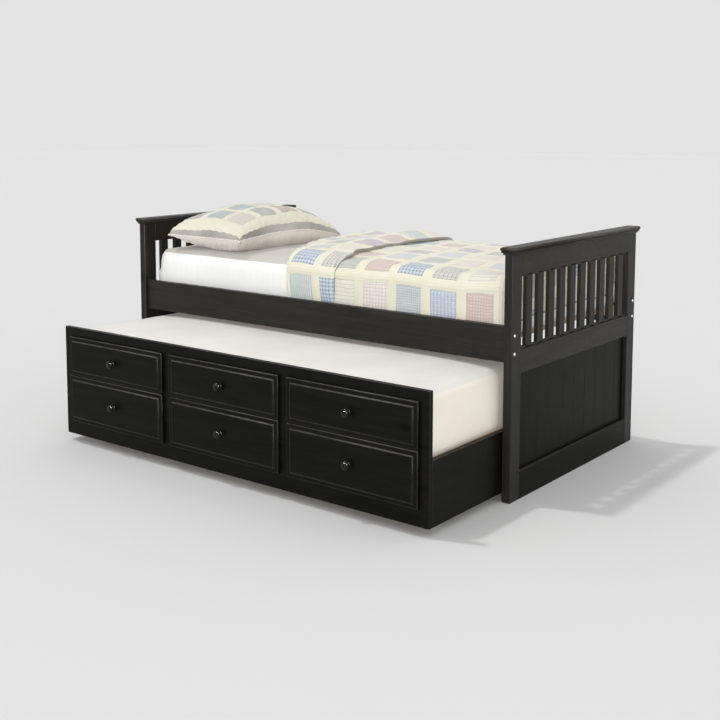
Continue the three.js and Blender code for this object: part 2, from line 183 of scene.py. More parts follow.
@dataclass(frozen=True)
class Timber(Finish):
    """Pine boards, stained or bare.

    The figure, pores and knots stretch along the grain; softened edges show some wear, plus a painted
    highlight where they face up.
    """

    dark: Colour
    light: Colour
    knot: Colour
    # The next fields give the lighter colour of rounded edges and how much of it shows: real wear plus a
    # painted highlight.
    worn_and_lit: Colour
    roughness: float = 0.42
    gloss: float = 0.3
    wear_and_highlight: float = 0.35
    figure_depth: float = 0.00018
    grain: Grain = Grain.ALONG_X

    def cut(self, grain: Grain) -> Material:
        """Makes or finds the finish for one way of the grain."""
        return replace(self, name=f"{self.name}_{grain.name.lower()}", grain=grain).material()

    def surface(self, graph: Graph, place: Socket) -> Inputs:
        """Streaked, porous wood with knots, and rubbed edges with a painted highlight where they face up.

        Args:
            graph: The material's graph.
            place: The object coordinates.

        Returns:
            The shader's inputs by name.
        """
        figure = graph.noise(graph.stretched(place, self.grain.value), 2.2, 5.0, 0.6, 1.1)
        pores = graph.noise(graph.stretched(place, self.grain.value), 26.0, 3.0, 0.65)
        cloud = graph.noise(place, 2.6, 3.0)
        knots = self.knots(graph, place)
        colour = graph.blend(graph.span(figure, 0.36, 0.68), self.dark, self.light)
        colour = graph.blend(graph.span(cloud, 0.35, 0.7, 0.0, 0.35), colour, self.light)
        colour = graph.blend(graph.math("MULTIPLY", graph.span(pores, 0.5, 0.72), 0.45), colour, self.knot)
        colour = graph.blend(knots, colour, self.knot)
        # Rounded edges take the lighter edge colour: some real wear, and a painted highlight on edges that
        # face up.
        edge = graph.node("ShaderNodeAttribute", attribute_name="edge_wear").outputs["Fac"]
        rubbing_and_highlight = graph.span(graph.noise(place, 26.0, 4.0, 0.7), 0.3, 0.7, 0.35 * self.wear_and_highlight, self.wear_and_highlight)
        colour = graph.blend(graph.math("MULTIPLY", edge, rubbing_and_highlight), colour, self.worn_and_lit)
        relief = graph.math("ADD", graph.math("MULTIPLY", figure, 0.6), graph.math("MULTIPLY", pores, 0.4))
        height = graph.math("SUBTRACT", relief, graph.math("MULTIPLY", knots, 0.5))
        return {"Base Color": colour, "Normal": graph.bump(height, self.figure_depth),
                "Specular IOR Level": self.gloss,
                "Roughness": graph.span(pores, 0.3, 0.75, self.roughness - 0.05, self.roughness + 0.12)}

    def knots(self, graph: Graph, place: Socket) -> Socket:
        """Small knots, far apart and a little longer along the grain.

        Args:
            graph: The material's graph.
            place: The object coordinates.

        Returns:
            How much of a knot shows, from 0 to 1.
        """
        spread = graph.stretched(place, tuple(1.0 if axis > 1.0 else 0.55 for axis in self.grain.value))
        cell = graph.node("ShaderNodeTexVoronoi", {"Vector": spread, "Scale": 3.6, "Randomness": 1.0})
        return graph.span(cell.outputs["Distance"], 0.035, 0.075, 0.85, 0.0)


@dataclass(frozen=True)
class Plain(Finish):
    """A smooth finish whose colour, roughness and relief each follow a noise at its own scale.

    Both spans hold the noise's low and high value and what they map to.
    """

    colour: Colour
    second: Colour
    tint: tuple[float, float, float, float]
    gloss: tuple[float, float, float, float]
    patches: float
    marks: float
    depth: float
    strength: float = 0.5
    detail: Pair = (4.0, 4.0)
    stretch: Triple = (1.0, 1.0, 1.0)
    rough_from_marks: bool = True
    constants: tuple[tuple[str, float], ...] = ()

    def surface(self, graph: Graph, place: Socket) -> Inputs:
        """Two colours in soft patches, under fine marks.

        Args:
            graph: The material's graph.
            place: The object coordinates.

        Returns:
            The shader's inputs by name.
        """
        patches = graph.noise(place, self.patches, self.detail[0])
        marks = graph.noise(graph.stretched(place, self.stretch), self.marks, self.detail[1])
        return {"Base Color": graph.blend(graph.span(patches, *self.tint), self.colour, self.second),
                "Roughness": graph.span(marks if self.rough_from_marks else patches, *self.gloss),
                "Normal": graph.bump(marks, self.depth, self.strength), **dict(self.constants)}


@dataclass(frozen=True)
class Cotton(Finish):
    """Plain woven or knitted cloth on object coordinates: weave, faint ribs and soft stains of shade."""

    colour: Colour
    shade: Colour
    rib: float = 0.012
    rib_depth: float = 0.0003
    rib_way: Triple = (1.0, 0.0, 0.0)
    thread: float = 900.0

    def surface(self, graph: Graph, place: Socket) -> Inputs:
        """Ribs and slubs of a darker shade over a fine weave.

        Args:
            graph: The material's graph.
            place: The object coordinates.

        Returns:
            The shader's inputs by name.
        """
        way = graph.node("ShaderNodeVectorMath", {0: place, 1: self.rib_way}, operation="DOT_PRODUCT")
        wander = graph.math("MULTIPLY", graph.noise(place, 6.0, 2.0), 0.006)
        ribs = graph.math("MULTIPLY", graph.math("ADD", way.outputs["Value"], wander), math.tau / self.rib)
        ribs = graph.math("MULTIPLY_ADD", graph.math("SINE", ribs), 0.5, 0.5)
        weave = graph.noise(place, self.thread, 2.0, 0.6)
        slubs = graph.noise(place, 120.0, 3.0, 0.6)
        colour = graph.blend(graph.span(graph.noise(place, 3.5, 4.0), 0.35, 0.7), self.colour, self.shade)
        colour = graph.blend(graph.span(ribs, 0.0, 1.0, 0.0, 0.16), colour, self.shade)
        colour = graph.blend(graph.span(slubs, 0.55, 0.75, 0.0, 0.2), colour, self.shade)
        ribbed = graph.bump(ribs, self.rib_depth, 0.8)
        normal = graph.bump(graph.math("ADD", weave, slubs), 0.0003, 0.6, ribbed)
        return {"Base Color": colour, "Roughness": graph.span(slubs, 0.3, 0.7, 0.82, 0.95), "Normal": normal,
                **SOFT_CLOTH}


class Print(Enum):
    """How the threads of a quilt patch are laid out."""

    GINGHAM = "gingham"
    CHECK = "check"
    GRID = "grid"
    STRIPE_ALONG = "stripe along"
    STRIPE_ACROSS = "stripe across"
    DOTTED = "dotted"


@dataclass(frozen=True)
class PatchCloth(Finish):
    """Pieced cotton: one printed patch in a plain sashing, stitched in squares around the patch.

    The UV map is in metres, with a patch in the middle of each square of the pitch.
    """

    ground: Colour
    thread: Colour
    layout: Print
    spacing: float = 0.012
    share: float = 0.45
    strength: float = 0.85
    pitch: float = 0.165
    patch: float = 0.12
    sashing: Colour = (0.86, 0.83, 0.66)
    faded: Colour = (0.9, 0.89, 0.82)
    shadow: Colour = (0.42, 0.4, 0.33)
    stitch: float = 0.0113

    def lines(self, graph: Graph, coordinate: Socket, share: float) -> Socket:
        """Parallel soft-edged lines across one coordinate.

        Args:
            graph: The material's graph.
            coordinate: The coordinate, in metres.
            share: How much of the spacing a line takes.

        Returns:
            1 on a line and 0 between lines.
        """
        phase = graph.math("FRACT", graph.math("DIVIDE", coordinate, self.spacing))
        reach = graph.math("ABSOLUTE", graph.math("SUBTRACT", phase, 0.5))
        return graph.span(reach, share / 2 - 0.06, share / 2 + 0.06, 1.0, 0.0)

    def threads(self, graph: Graph, along: Socket, across: Socket) -> Socket:
        """The print's own pattern.

        Args:
            graph: The material's graph.
            along: The coordinate along the quilt.
            across: The coordinate across the quilt.

        Returns:
            How much of the thread colour shows.
        """
        first = self.lines(graph, along, self.share)
        second = self.lines(graph, across, self.share)
        if self.layout is Print.STRIPE_ALONG:
            return second
        if self.layout is Print.STRIPE_ACROSS:
            return first
        if self.layout is Print.DOTTED:
            dots = graph.math("MULTIPLY", first, self.lines(graph, graph.math("MULTIPLY", across, 1.9), 0.55))
            return graph.math("MAXIMUM", dots, graph.math("MULTIPLY", second, 0.3))
        if self.layout is Print.GINGHAM:
            return graph.math("MULTIPLY_ADD", first, 0.5, graph.math("MULTIPLY", second, 0.5))
        return graph.math("MAXIMUM", first, second)

    def from_middle(self, graph: Graph, coordinate: Socket) -> Socket:
        """The signed distance from the middle of a patch, in metres."""
        share = graph.math("FRACT", graph.math("DIVIDE", coordinate, self.pitch))
        return graph.math("MULTIPLY", graph.math("SUBTRACT", share, 0.5), self.pitch)

    def surface(self, graph: Graph, place: Socket) -> Inputs:
        """The patch, its sashing, its quilting stitches and the faded places.

        Args:
            graph: The material's graph.
            place: The object coordinates.

        Returns:
            The shader's inputs by name.
        """
        flat = graph.node("ShaderNodeUVMap", uv_map="cloth").outputs[0]
        parts = graph.node("ShaderNodeSeparateXYZ", {"Vector": flat}).outputs
        wobble = graph.math("MULTIPLY", graph.math("SUBTRACT", graph.noise(place, 9.0, 2.0), 0.5), 0.012)
        middle = [self.from_middle(graph, graph.math("ADD", parts[axis], wobble)) for axis in (0, 1)]
        square = graph.math("MAXIMUM", graph.math("ABSOLUTE", middle[0]), graph.math("ABSOLUTE", middle[1]))
        sash = graph.span(square, self.patch / 2 - 0.0012, self.patch / 2 + 0.0012)
        weave = graph.noise(place, 700.0, 2.0)
        faded = graph.noise(place, 14.0, 4.0)
        amount = graph.math("MULTIPLY", self.threads(graph, *middle), self.strength)
        amount = graph.math("MULTIPLY", amount, graph.span(faded, 0.2, 0.65, 0.55, 1.0))
        specks = graph.span(graph.noise(place, 170.0, 3.0, 0.7), 0.5, 0.6, 0.0, 0.4 * self.strength)
        patch = graph.blend(graph.math("MAXIMUM", amount, specks), self.ground, self.thread)
        colour = graph.blend(sash, patch, self.sashing)
        colour = graph.blend(graph.span(faded, 0.5, 0.8, 0.0, 0.25), colour, self.faded)
        dip = self.stitching(graph, graph.math("SUBTRACT", square, self.patch / 2), sash)
        colour = graph.blend(graph.math("MULTIPLY", dip, 0.16), colour, self.shadow)
        normal = graph.bump(graph.math("SUBTRACT", 1.0, dip), 0.0022, 0.6)
        crinkle = graph.math("MULTIPLY", graph.noise(place, 90.0, 3.0, 0.6), 0.8)
        return {"Base Color": colour, "Roughness": graph.span(weave, 0.3, 0.7, 0.84, 0.95),
                "Normal": graph.bump(graph.math("ADD", crinkle, weave), 0.0007, 0.6, normal), **SOFT_CLOTH}

    def stitching(self, graph: Graph, ring: Socket, sash: Socket) -> Socket:
        """Squares of stitches around each patch, fainter inside it, and the seam at its edge.

        Args:
            graph: The material's graph.
            ring: The distance outwards from the patch's edge.
            sash: 1 on the sashing and 0 on the patch.

        Returns:
            How deep the cloth is drawn in, from 0 to 1.
        """
        phase = graph.math("FRACT", graph.math("ADD", graph.math("DIVIDE", ring, self.stitch), 0.5))
        groove = graph.span(graph.math("ABSOLUTE", graph.math("SUBTRACT", phase, 0.5)), 0.0, 0.14, 1.0, 0.0)
        inside = graph.math("MULTIPLY", graph.math("SUBTRACT", 1.0, sash), 0.25)
        seam = graph.span(graph.math("ABSOLUTE", ring), 0.0, 0.0022, 1.0, 0.0)
        channel = graph.math("MULTIPLY", groove, graph.math("MAXIMUM", sash, inside))
        return graph.math("MAXIMUM", channel, seam)


SOFT_CLOTH = {"Sheen Weight": 0.25, "Sheen Roughness": 0.6, "Specular IOR Level": 0.25}
CHARCOAL = Timber("charcoal_pine", (0.0105, 0.0095, 0.0068), (0.021, 0.0196, 0.0141), (0.003, 0.003, 0.0025),
                  (0.085, 0.081, 0.066), roughness=0.36, gloss=0.15, wear_and_highlight=0.8)
# A darker copy of the same charcoal stain for the bottom rail, boarding, trundle and drawer fronts: painted
# shade. Its light edge colour paints highlights on the drawer fronts.
CHARCOAL_SHADED = Timber("charcoal_pine_painted_shade", (0.002, 0.002, 0.0014), (0.0062, 0.006, 0.0042), (0.0006, 0.0006, 0.0005),
               (0.12, 0.116, 0.098), roughness=0.33, gloss=0.07, wear_and_highlight=0.95)
BARE = Timber("bare_pine", (0.42, 0.29, 0.17), (0.62, 0.47, 0.30), (0.22, 0.12, 0.06), (0.7, 0.57, 0.4),
              roughness=0.62, wear_and_highlight=0.2)
LACQUER = Plain("knob_black", (0.0015, 0.0015, 0.0015), (0.0045, 0.0045, 0.0045), (0.45, 0.7, 0.0, 1.0),
                (0.35, 0.7, 0.12, 0.22), patches=60.0, marks=60.0, depth=0.0001,
                constants=(("Specular IOR Level", 0.16), ("Coat Weight", 0.2), ("Coat Roughness", 0.06)))
STEEL = Plain("zinc_steel", (0.62, 0.62, 0.64), (0.372, 0.372, 0.384), (0.4, 0.7, 0.0, 0.5),
              (0.3, 0.7, 0.22, 0.45), patches=25.0, marks=180.0, depth=0.00005, strength=0.6,
              detail=(3.0, 3.0), stretch=(1.0, 1.0, 12.0),
              constants=(("Metallic", 1.0),))
TREAD = Plain("wheel_rubber", (0.03, 0.03, 0.032), (0.16, 0.15, 0.14), (0.45, 0.75, 0.0, 0.4),
              (0.3, 0.7, 0.45, 0.75), patches=40.0, marks=400.0, depth=0.0001, detail=(4.0, 2.0),
              rough_from_marks=False)
SHEET = Cotton("fitted_sheet", (0.89, 0.89, 0.875), (0.84, 0.845, 0.835), rib=0.034, rib_depth=0.0012)
# A darker, warmer copy of the fitted sheet for its top: painted shade.
SHEET_SHADED_TOP = Cotton("sheet_top", (0.58, 0.555, 0.505), (0.50, 0.475, 0.43), rib=0.02, rib_depth=0.0006)
TICKING = Cotton("ticking", (0.77, 0.755, 0.71), (0.70, 0.68, 0.63), rib=0.02, rib_depth=0.0008)
BORDER = Cotton("ticking_border", (0.86, 0.81, 0.71), (0.80, 0.745, 0.64), rib=0.016, rib_depth=0.0008)
# A narrow dark binding on the quilt's edges; its darkness is a painted shadow line under the folded edge and
# along the foot hem.
SHADOW_BINDING = Cotton("quilt_binding_painted_shadow", (0.34, 0.32, 0.26), (0.22, 0.205, 0.17), rib=0.004, rib_depth=0.0002)
SHAM_BACK = Cotton("sham_back", (0.85, 0.80, 0.74), (0.70, 0.64, 0.58), rib=0.0095, rib_depth=0.0022,
                   rib_way=(0.75, 0.66, 0.0))
SHAM_BAND = Cotton("sham_band", (0.56, 0.53, 0.475), (0.27, 0.255, 0.23), rib=0.007, rib_depth=0.0018,
                   rib_way=(0.66, -0.75, 0.0))


def quilt_prints(pitch: float, patch: float, mark: str, tone: float, plain: float) -> dict[str, PatchCloth]:
    """The printed cottons, pieced at one size.

    Args:
        pitch: From one patch to the next.
        patch: A patch's side.
        mark: What their materials' names begin with.
        tone: How light the printed grounds are, from 0 to 1.
        plain: How light the plain sashing is, from 0 to 1.

    Returns:
        The prints by name.
    """
    table = {
        "cream_stripe": ((0.85, 0.82, 0.71), (0.47, 0.44, 0.43), Print.STRIPE_ALONG, 0.0165, 0.18, 0.7),
        "pink_grid": ((0.89, 0.84, 0.76), (0.58, 0.42, 0.45), Print.GRID, 0.0150, 0.2, 0.75),
        "slate_check": ((0.68, 0.73, 0.725), (0.30, 0.38, 0.44), Print.CHECK, 0.0100, 0.3, 0.8),
        "blue_dots": ((0.70, 0.75, 0.79), (0.22, 0.31, 0.49), Print.DOTTED, 0.0165, 0.5, 0.9),
        "rose_check": ((0.78, 0.66, 0.61), (0.50, 0.33, 0.32), Print.CHECK, 0.0120, 0.28, 0.75),
        "sage_check": ((0.66, 0.675, 0.61), (0.33, 0.37, 0.34), Print.CHECK, 0.0130, 0.3, 0.75),
        "blue_gingham": ((0.73, 0.76, 0.78), (0.13, 0.23, 0.42), Print.GINGHAM, 0.0165, 0.5, 0.95),
        "black_dotted": ((0.76, 0.735, 0.67), (0.10, 0.10, 0.14), Print.DOTTED, 0.0200, 0.26, 0.9),
        "lilac": ((0.62, 0.56, 0.60), (0.42, 0.35, 0.45), Print.STRIPE_ACROSS, 0.0090, 0.35, 0.6),
        "sage_stripe": ((0.68, 0.735, 0.71), (0.34, 0.43, 0.45), Print.STRIPE_ACROSS, 0.0105, 0.32, 0.8),
        "cream_ditsy": ((0.85, 0.80, 0.71), (0.58, 0.46, 0.43), Print.DOTTED, 0.0150, 0.3, 0.6),
        "mist_blue": ((0.72, 0.74, 0.745), (0.48, 0.52, 0.60), Print.CHECK, 0.0140, 0.3, 0.6),
    }
    sashing = tuple(plain * part for part in (0.86, 0.83, 0.66))
    prints = {name: PatchCloth(f"{mark}_{name}", tuple(tone * part for part in ground),
                               tuple(tone * part for part in thread), *layout,
                               pitch=pitch, patch=patch, sashing=sashing)
              for name, (ground, thread, *layout) in table.items()}
    prints["border"] = PatchCloth(f"{mark}_border", sashing, sashing, Print.CHECK, strength=0.0,
                                  pitch=pitch, patch=patch, sashing=sashing)
    return prints


PRINTS = quilt_prints(0.165, 0.12, "quilt", 0.86, 0.90)
PILLOW_PRINTS = quilt_prints(0.155, 0.116, "sham", 0.68, 0.82)
LOWER_PANEL = len(PILLOW_PRINTS) + 1


# ---------------------------------------------------------------- meshes


def new_piece(name: str, mesh: Mesh, materials: Iterable[Material]) -> Object:
    """Puts a mesh in the scene.

    Args:
        name: The piece's name.
        mesh: Its mesh, already in place.
        materials: Its materials, in slot order.

    Returns:
        The piece.
    """
    mesh.name = name
    if mesh.materials:
        mesh.materials.clear()
    for material in materials:
        mesh.materials.append(material)
    piece = bpy.data.objects.new(name, mesh)
    bpy.context.scene.collection.objects.link(piece)
    return piece


def sealed(mesh: Mesh, smooth: bool | None = None) -> Mesh:
    """Joins a mesh's double points and turns its faces outwards.

    Args:
        mesh: The mesh.
        smooth: Whether its faces are shaded smoothly, or None to leave them.

    Returns:
        The same mesh.
    """
    shell = bmesh.new()
    shell.from_mesh(mesh)
    bmesh.ops.remove_doubles(shell, verts=shell.verts, dist=1e-6)
    bmesh.ops.recalc_face_normals(shell, faces=shell.faces)
    for face in shell.faces:
        face.smooth = face.smooth if smooth is None else smooth
    shell.to_mesh(mesh)
    shell.free()
    return mesh


def mesh_of(vertices: Sequence[Sequence[float]], faces: Sequence[Sequence[int]], smooth: bool = True) -> Mesh:
    """Makes a mesh with its faces turned outwards.

    Args:
        vertices: The points.
        faces: The corners of each face.
        smooth: Whether its faces are shaded smoothly.

    Returns:
        The mesh.
    """
    mesh = bpy.data.meshes.new("piece")
    mesh.from_pydata([tuple(v) for v in vertices], [], [tuple(f) for f in faces])
    return sealed(mesh, smooth)


def ring_faces(rings: int, around: int, closed: bool = True) -> list[list[int]]:
    """The faces between rings of points.

    Args:
        rings: How many rings there are.
        around: How many points each has.
        closed: Whether the last ring joins the first.

    Returns:
        The corners of each face.
    """
    faces = []
    for ring in range(rings if closed else rings - 1):
        low, high = ring * around, (ring + 1) % rings * around
        for step in range(around):
            after = (step + 1) % around
            faces.append([low + step, low + after, high + after, high + step])
    return faces


def settle(piece: Object, body: str, slot: str, *nodes: str) -> Object:
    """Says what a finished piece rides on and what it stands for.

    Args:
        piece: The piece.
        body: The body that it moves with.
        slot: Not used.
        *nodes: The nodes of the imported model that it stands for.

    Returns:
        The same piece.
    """
    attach(piece, body)
    if nodes:
        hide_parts(*nodes)
    LOG.info("%s rides on %s, %d faces", piece.name, body, len(piece.data.polygons))
    return piece


def baked(piece: Object) -> Object:
    """Applies a piece's modifiers.

    Args:
        piece: The piece.

    Returns:
        The same piece, with a plain mesh.
    """
    view = bpy.context.evaluated_depsgraph_get()
    old = piece.data
    piece.data = bpy.data.meshes.new_from_object(piece.evaluated_get(view), preserve_all_data_layers=True,
                                                 depsgraph=view)
    piece.modifiers.clear()
    bpy.data.meshes.remove(old)
    return piece


def wear_and_highlight_share(normal: Vector) -> float:
    """The share of lighter edge colour on a rounded edge: a little wear all round, and painted highlight
    where it faces up.
    """
    return 0.16 + 0.84 * max(0.0, normal.z) ** 1.5


def worn_and_lit(mesh: Mesh) -> Mesh:
    """Shades a mesh's flats flat, and marks its rounded faces for wear and a painted highlight.

    Args:
        mesh: The mesh, whose flats face along the axes.

    Returns:
        The same mesh.
    """
    wear_and_highlight = mesh.attributes.new("edge_wear", "FLOAT", "FACE")
    for face in mesh.polygons:
        rounded = max(abs(part) for part in face.normal) < 0.999
        face.use_smooth = rounded
        wear_and_highlight.data[face.index].value = wear_and_highlight_share(face.normal) if rounded else 0.0
    return mesh


def softened(node: str, timber: Timber, grain: Grain, body: str, slot: str, width: float = 0.0018) -> Object:
    """Copies a wooden node of the model, joins its faces and softens its edges.

    Args:
        node: The node.
        timber: Its finish.
        grain: The way its grain runs.
        body: The body that it rides on.
        slot: The record's material slot.
        width: How wide the softened edges are.

    Returns:
        The wooden piece, which stands for the node.
    """
    shell = bmesh.new()
    shell.from_mesh(FRAME["nodes"][node].data)
    bmesh.ops.remove_doubles(shell, verts=shell.verts, dist=2e-5)
    bmesh.ops.dissolve_limit(shell, angle_limit=math.radians(0.5), verts=shell.verts, edges=shell.edges)
    sharp = [edge for edge in shell.edges
             if len(edge.link_faces) == 2 and edge.calc_face_angle() > math.radians(28)]
    wear_and_highlight = shell.faces.layers.float.new("edge_wear")
    for face in shell.faces:
        face.smooth = False
    made = bmesh.ops.bevel(shell, geom=sharp, offset=width, offset_type="OFFSET", segments=2, profile=0.5,
                           affect="EDGES", clamp_overlap=True)
    shell.normal_update()
    # Bevel faces get some wear, and painted highlight where they face up.
    for face in made["faces"]:
        face[wear_and_highlight] = wear_and_highlight_share(face.normal)
        face.smooth = True
    mesh = bpy.data.meshes.new(node)
    shell.to_mesh(mesh)
    shell.free()
    return settle(new_piece(f"{node}_wood", mesh, [timber.cut(grain)]), body, slot, node)


def turned(profile: Sequence[Pair], segments: int = 48) -> Solid:
    """Turns a profile about the Z axis. Its first and last points are on the axis.

    Args:
        profile: Radius and height of each point.
        segments: How many steps make the circle.

    Returns:
        The vertices and faces.
    """
    vertices = [Vector((0.0, 0.0, profile[0][1]))]
    for radius, height in profile[1:-1]:
        for step in range(segments):
            angle = math.tau * step / segments
            vertices.append(Vector((radius * math.cos(angle), radius * math.sin(angle), height)))
    vertices.append(Vector((0.0, 0.0, profile[-1][1])))
    last, end = len(vertices) - 1, len(vertices) - 1 - segments
    faces = [[1 + i for i in face] for face in ring_faces(len(profile) - 2, segments, closed=False)]
    for step in range(segments):
        after = (step + 1) % segments
        faces += [[0, 1 + after, 1 + step], [last, end + step, end + after]]
    return vertices, faces


def moulded(low: Vector, high: Vector, steps: Sequence[Pair], axis: int, start: float
            ) -> Solid:
    """Stacks rectangles into a board with moulded edges.

    Args:
        low: The rectangle's lowest corner.
        high: The rectangle's highest corner.
        steps: For each rectangle, how far it is set in and how far along the axis it is.
        axis: The axis that the rectangles are stacked along.
        start: Where the first is measured from on that axis.

    Returns:
        The vertices and faces.
    """
    first, second = (index for index in range(3) if index != axis)
    vertices = []
    for inset, along in steps:
        for side_a, side_b in ((0, 0), (1, 0), (1, 1), (0, 1)):
            point = Vector((0.0, 0.0, 0.0))
            point[first] = high[first] - inset if side_a else low[first] + inset
            point[second] = high[second] - inset if side_b else low[second] + inset
            point[axis] = start + along
            vertices.append(point)
    ends = [[3, 2, 1, 0], [len(vertices) - 4 + corner for corner in range(4)]]
    return vertices, ends + ring_faces(len(steps), 4, closed=False)


def quarter(inset: float, along: float, radius: float, steps: int = 5) -> list[Pair]:
    """A quarter round of a moulding, from its widest point inwards.

    Args:
        inset: The inset where it starts.
        along: The place where it starts.
        radius: Its radius, below zero to go the other way along the axis.
        steps: How many points it has.

    Returns:
        Its (inset, along) points.
    """
    angles = [math.pi / 2 * step / steps for step in range(1, steps + 1)]
    return [(inset + abs(radius) * (1 - math.cos(a)), along + radius * math.sin(a)) for a in angles]


# ---------------------------------------------------------------- Geometry Nodes


class NodeShape:
    """A Geometry Nodes tree with named inputs that makes one plain mesh."""

    name: str
    inputs: dict[str, str]

    def __init__(self) -> None:
        """Makes the tree with its named inputs and builds it."""
        self.tree = bpy.data.node_groups.new(self.name, "GeometryNodeTree")
        self.graph = Graph(self.tree)
        for label, kind in {**self.inputs, "Material": "Material"}.items():
            self.tree.interface.new_socket(label, in_out="INPUT", socket_type=f"NodeSocket{kind}")
        self.tree.interface.new_socket("Geometry", in_out="OUTPUT", socket_type="NodeSocketGeometry")
        given = self.graph.node("NodeGroupInput").outputs
        plain = self.geometry("RealizeInstances", Geometry=self.build(given))
        dressed = self.geometry("SetMaterial", Geometry=plain, Material=given["Material"])
        self.graph.node("NodeGroupOutput", {"Geometry": dressed})

    def geometry(self, kind: str, mode: str | None = None, **inputs: Value) -> Socket:
        """Adds a geometry node, with underscores for its inputs' spaces, and returns its first output."""
        named = {label.replace("_", " "): value for label, value in inputs.items()}
        return self.graph.node(f"GeometryNode{kind}", named, **({"mode": mode} if mode else {})).outputs[0]

    def vector(self, **parts: Value) -> Socket:
        """Adds a vector made of its parts."""
        return self.graph.node("ShaderNodeCombineXYZ", parts).outputs[0]

    def build(self, given: Sockets) -> Socket:
        """Builds the tree's own shape from the tree's inputs."""
        raise NotImplementedError

    def mesh(self, place: Matrix | None = None, **values: object) -> Mesh:
        """Runs the tree once.

        Args:
            place: Where the shape goes.
            **values: The inputs' values.

        Returns:
            The finished mesh, with its faces outwards.
        """
        holder = bpy.data.objects.new("holder", bpy.data.meshes.new("holder"))
        bpy.context.scene.collection.objects.link(holder)
        modifier = holder.modifiers.new("shape", "NODES")
        modifier.node_group = self.tree
        sockets = {item.name: item.identifier for item in self.tree.interface.items_tree
                   if item.in_out == "INPUT"}
        for label, value in values.items():
            modifier[sockets[label]] = value
        mesh = baked(holder).data
        bpy.data.objects.remove(holder)
        if place is not None:
            mesh.transform(place)
        return sealed(mesh)


class BoardRow(NodeShape):
    """A row of equal boards with rounded edges, standing along Z and spaced along X."""

    name = "board_row"
    inputs = {"Count": "Int", "Pitch": "Float", "Width": "Float", "Thickness": "Float", "Length": "Float",
              "Edge": "Float"}

    def build(self, given: Sockets) -> Socket:
        """A rounded rectangle run along a line, once for each point of a row.

        Args:
            given: The tree's inputs.

        Returns:
            The row of boards.
        """
        section = self.geometry("CurvePrimitiveQuadrilateral", Width=given["Width"],
                                Height=given["Thickness"])
        section = self.geometry("FilletCurve", mode="POLY", Curve=section, Count=3, Radius=given["Edge"])
        line = self.geometry("CurvePrimitiveLine", End=self.vector(Z=given["Length"]))
        board = self.geometry("CurveToMesh", Curve=line, Profile_Curve=section, Fill_Caps=True)
        reach = self.graph.math("MULTIPLY", self.graph.math("SUBTRACT", given["Count"], 1.0), -0.5)
        left = self.vector(X=self.graph.math("MULTIPLY", reach, given["Pitch"]))
        row = self.geometry("MeshLine", mode="OFFSET", Count=given["Count"], Start_Location=left,
                            Offset=self.vector(X=given["Pitch"]))
        return self.geometry("InstanceOnPoints", Points=row, Instance=board)


class PartRow(NodeShape):
    """One part repeated at equal steps, such as screws and bolts."""

    name = "part_row"
    inputs = {"Part": "Object", "Count": "Int", "Step": "Vector", "Start": "Vector", "Turn": "Vector"}

    def build(self, given: Sockets) -> Socket:
        """The part on each point of a line.

        Args:
            given: The tree's inputs.

        Returns:
            The row of parts.
        """
        part = self.graph.node("GeometryNodeObjectInfo", {"Object": given["Part"]}).outputs["Geometry"]
        row = self.geometry("MeshLine", mode="OFFSET", Count=given["Count"], Start_Location=given["Start"],
                            Offset=given["Step"])
        return self.geometry("InstanceOnPoints", Points=row, Instance=part, Rotation=given["Turn"])


# ---------------------------------------------------------------- the bed frame


def box_of(node: str) -> tuple[Vector, Vector, Vector]:
    """A node's lowest corner, highest corner and middle."""
    low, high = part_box(node)
    return low, high, (low + high) / 2


def stood(at: Sequence[float], *turns: tuple[float, str]) -> Matrix:
    """A place and the turns made there, each in degrees about an axis.

    Args:
        at: The place.
        *turns: The turns, the last one made first.

    Returns:
        The matrix.
    """
    place = Matrix.Translation(at)
    for degrees, axis in turns:
        place = place @ Matrix.Rotation(math.radians(degrees), 4, axis)
    return place


def joined(meshes: Sequence[Mesh]) -> Mesh:
    """Joins meshes into one and removes the old ones.

    Args:
        meshes: The meshes, each in its place.

    Returns:
        One mesh.
    """
    shell = bmesh.new()
    for mesh in meshes:
        shell.from_mesh(mesh)
        bpy.data.meshes.remove(mesh)
    whole = bpy.data.meshes.new("joined")
    shell.to_mesh(whole)
    shell.free()
    return whole


def flow(points: Sequence[Pair], steps: int = 4) -> list[Pair]:
    """Rounds a turned profile by running a smooth curve through its points.

    Args:
        points: The profile's points.
        steps: How many points stand for each of them.

    Returns:
        The longer profile, with the same ends.
    """
    ends = [points[0], *points, points[-1]]
    made = [points[0]]
    for before, first, second, after in zip(ends, ends[1:], ends[2:], ends[3:]):
        for step in range(1, steps + 1):
            t = step / steps
            made.append(tuple(
                0.5 * (2 * b + (c - a) * t + (2 * a - 5 * b + 4 * c - d) * t * t
                       + (3 * b - a - 3 * c + d) * t ** 3)
                for a, b, c, d in zip(before, first, second, after)))
    return [(max(radius, 0.0), height) for radius, height in made]


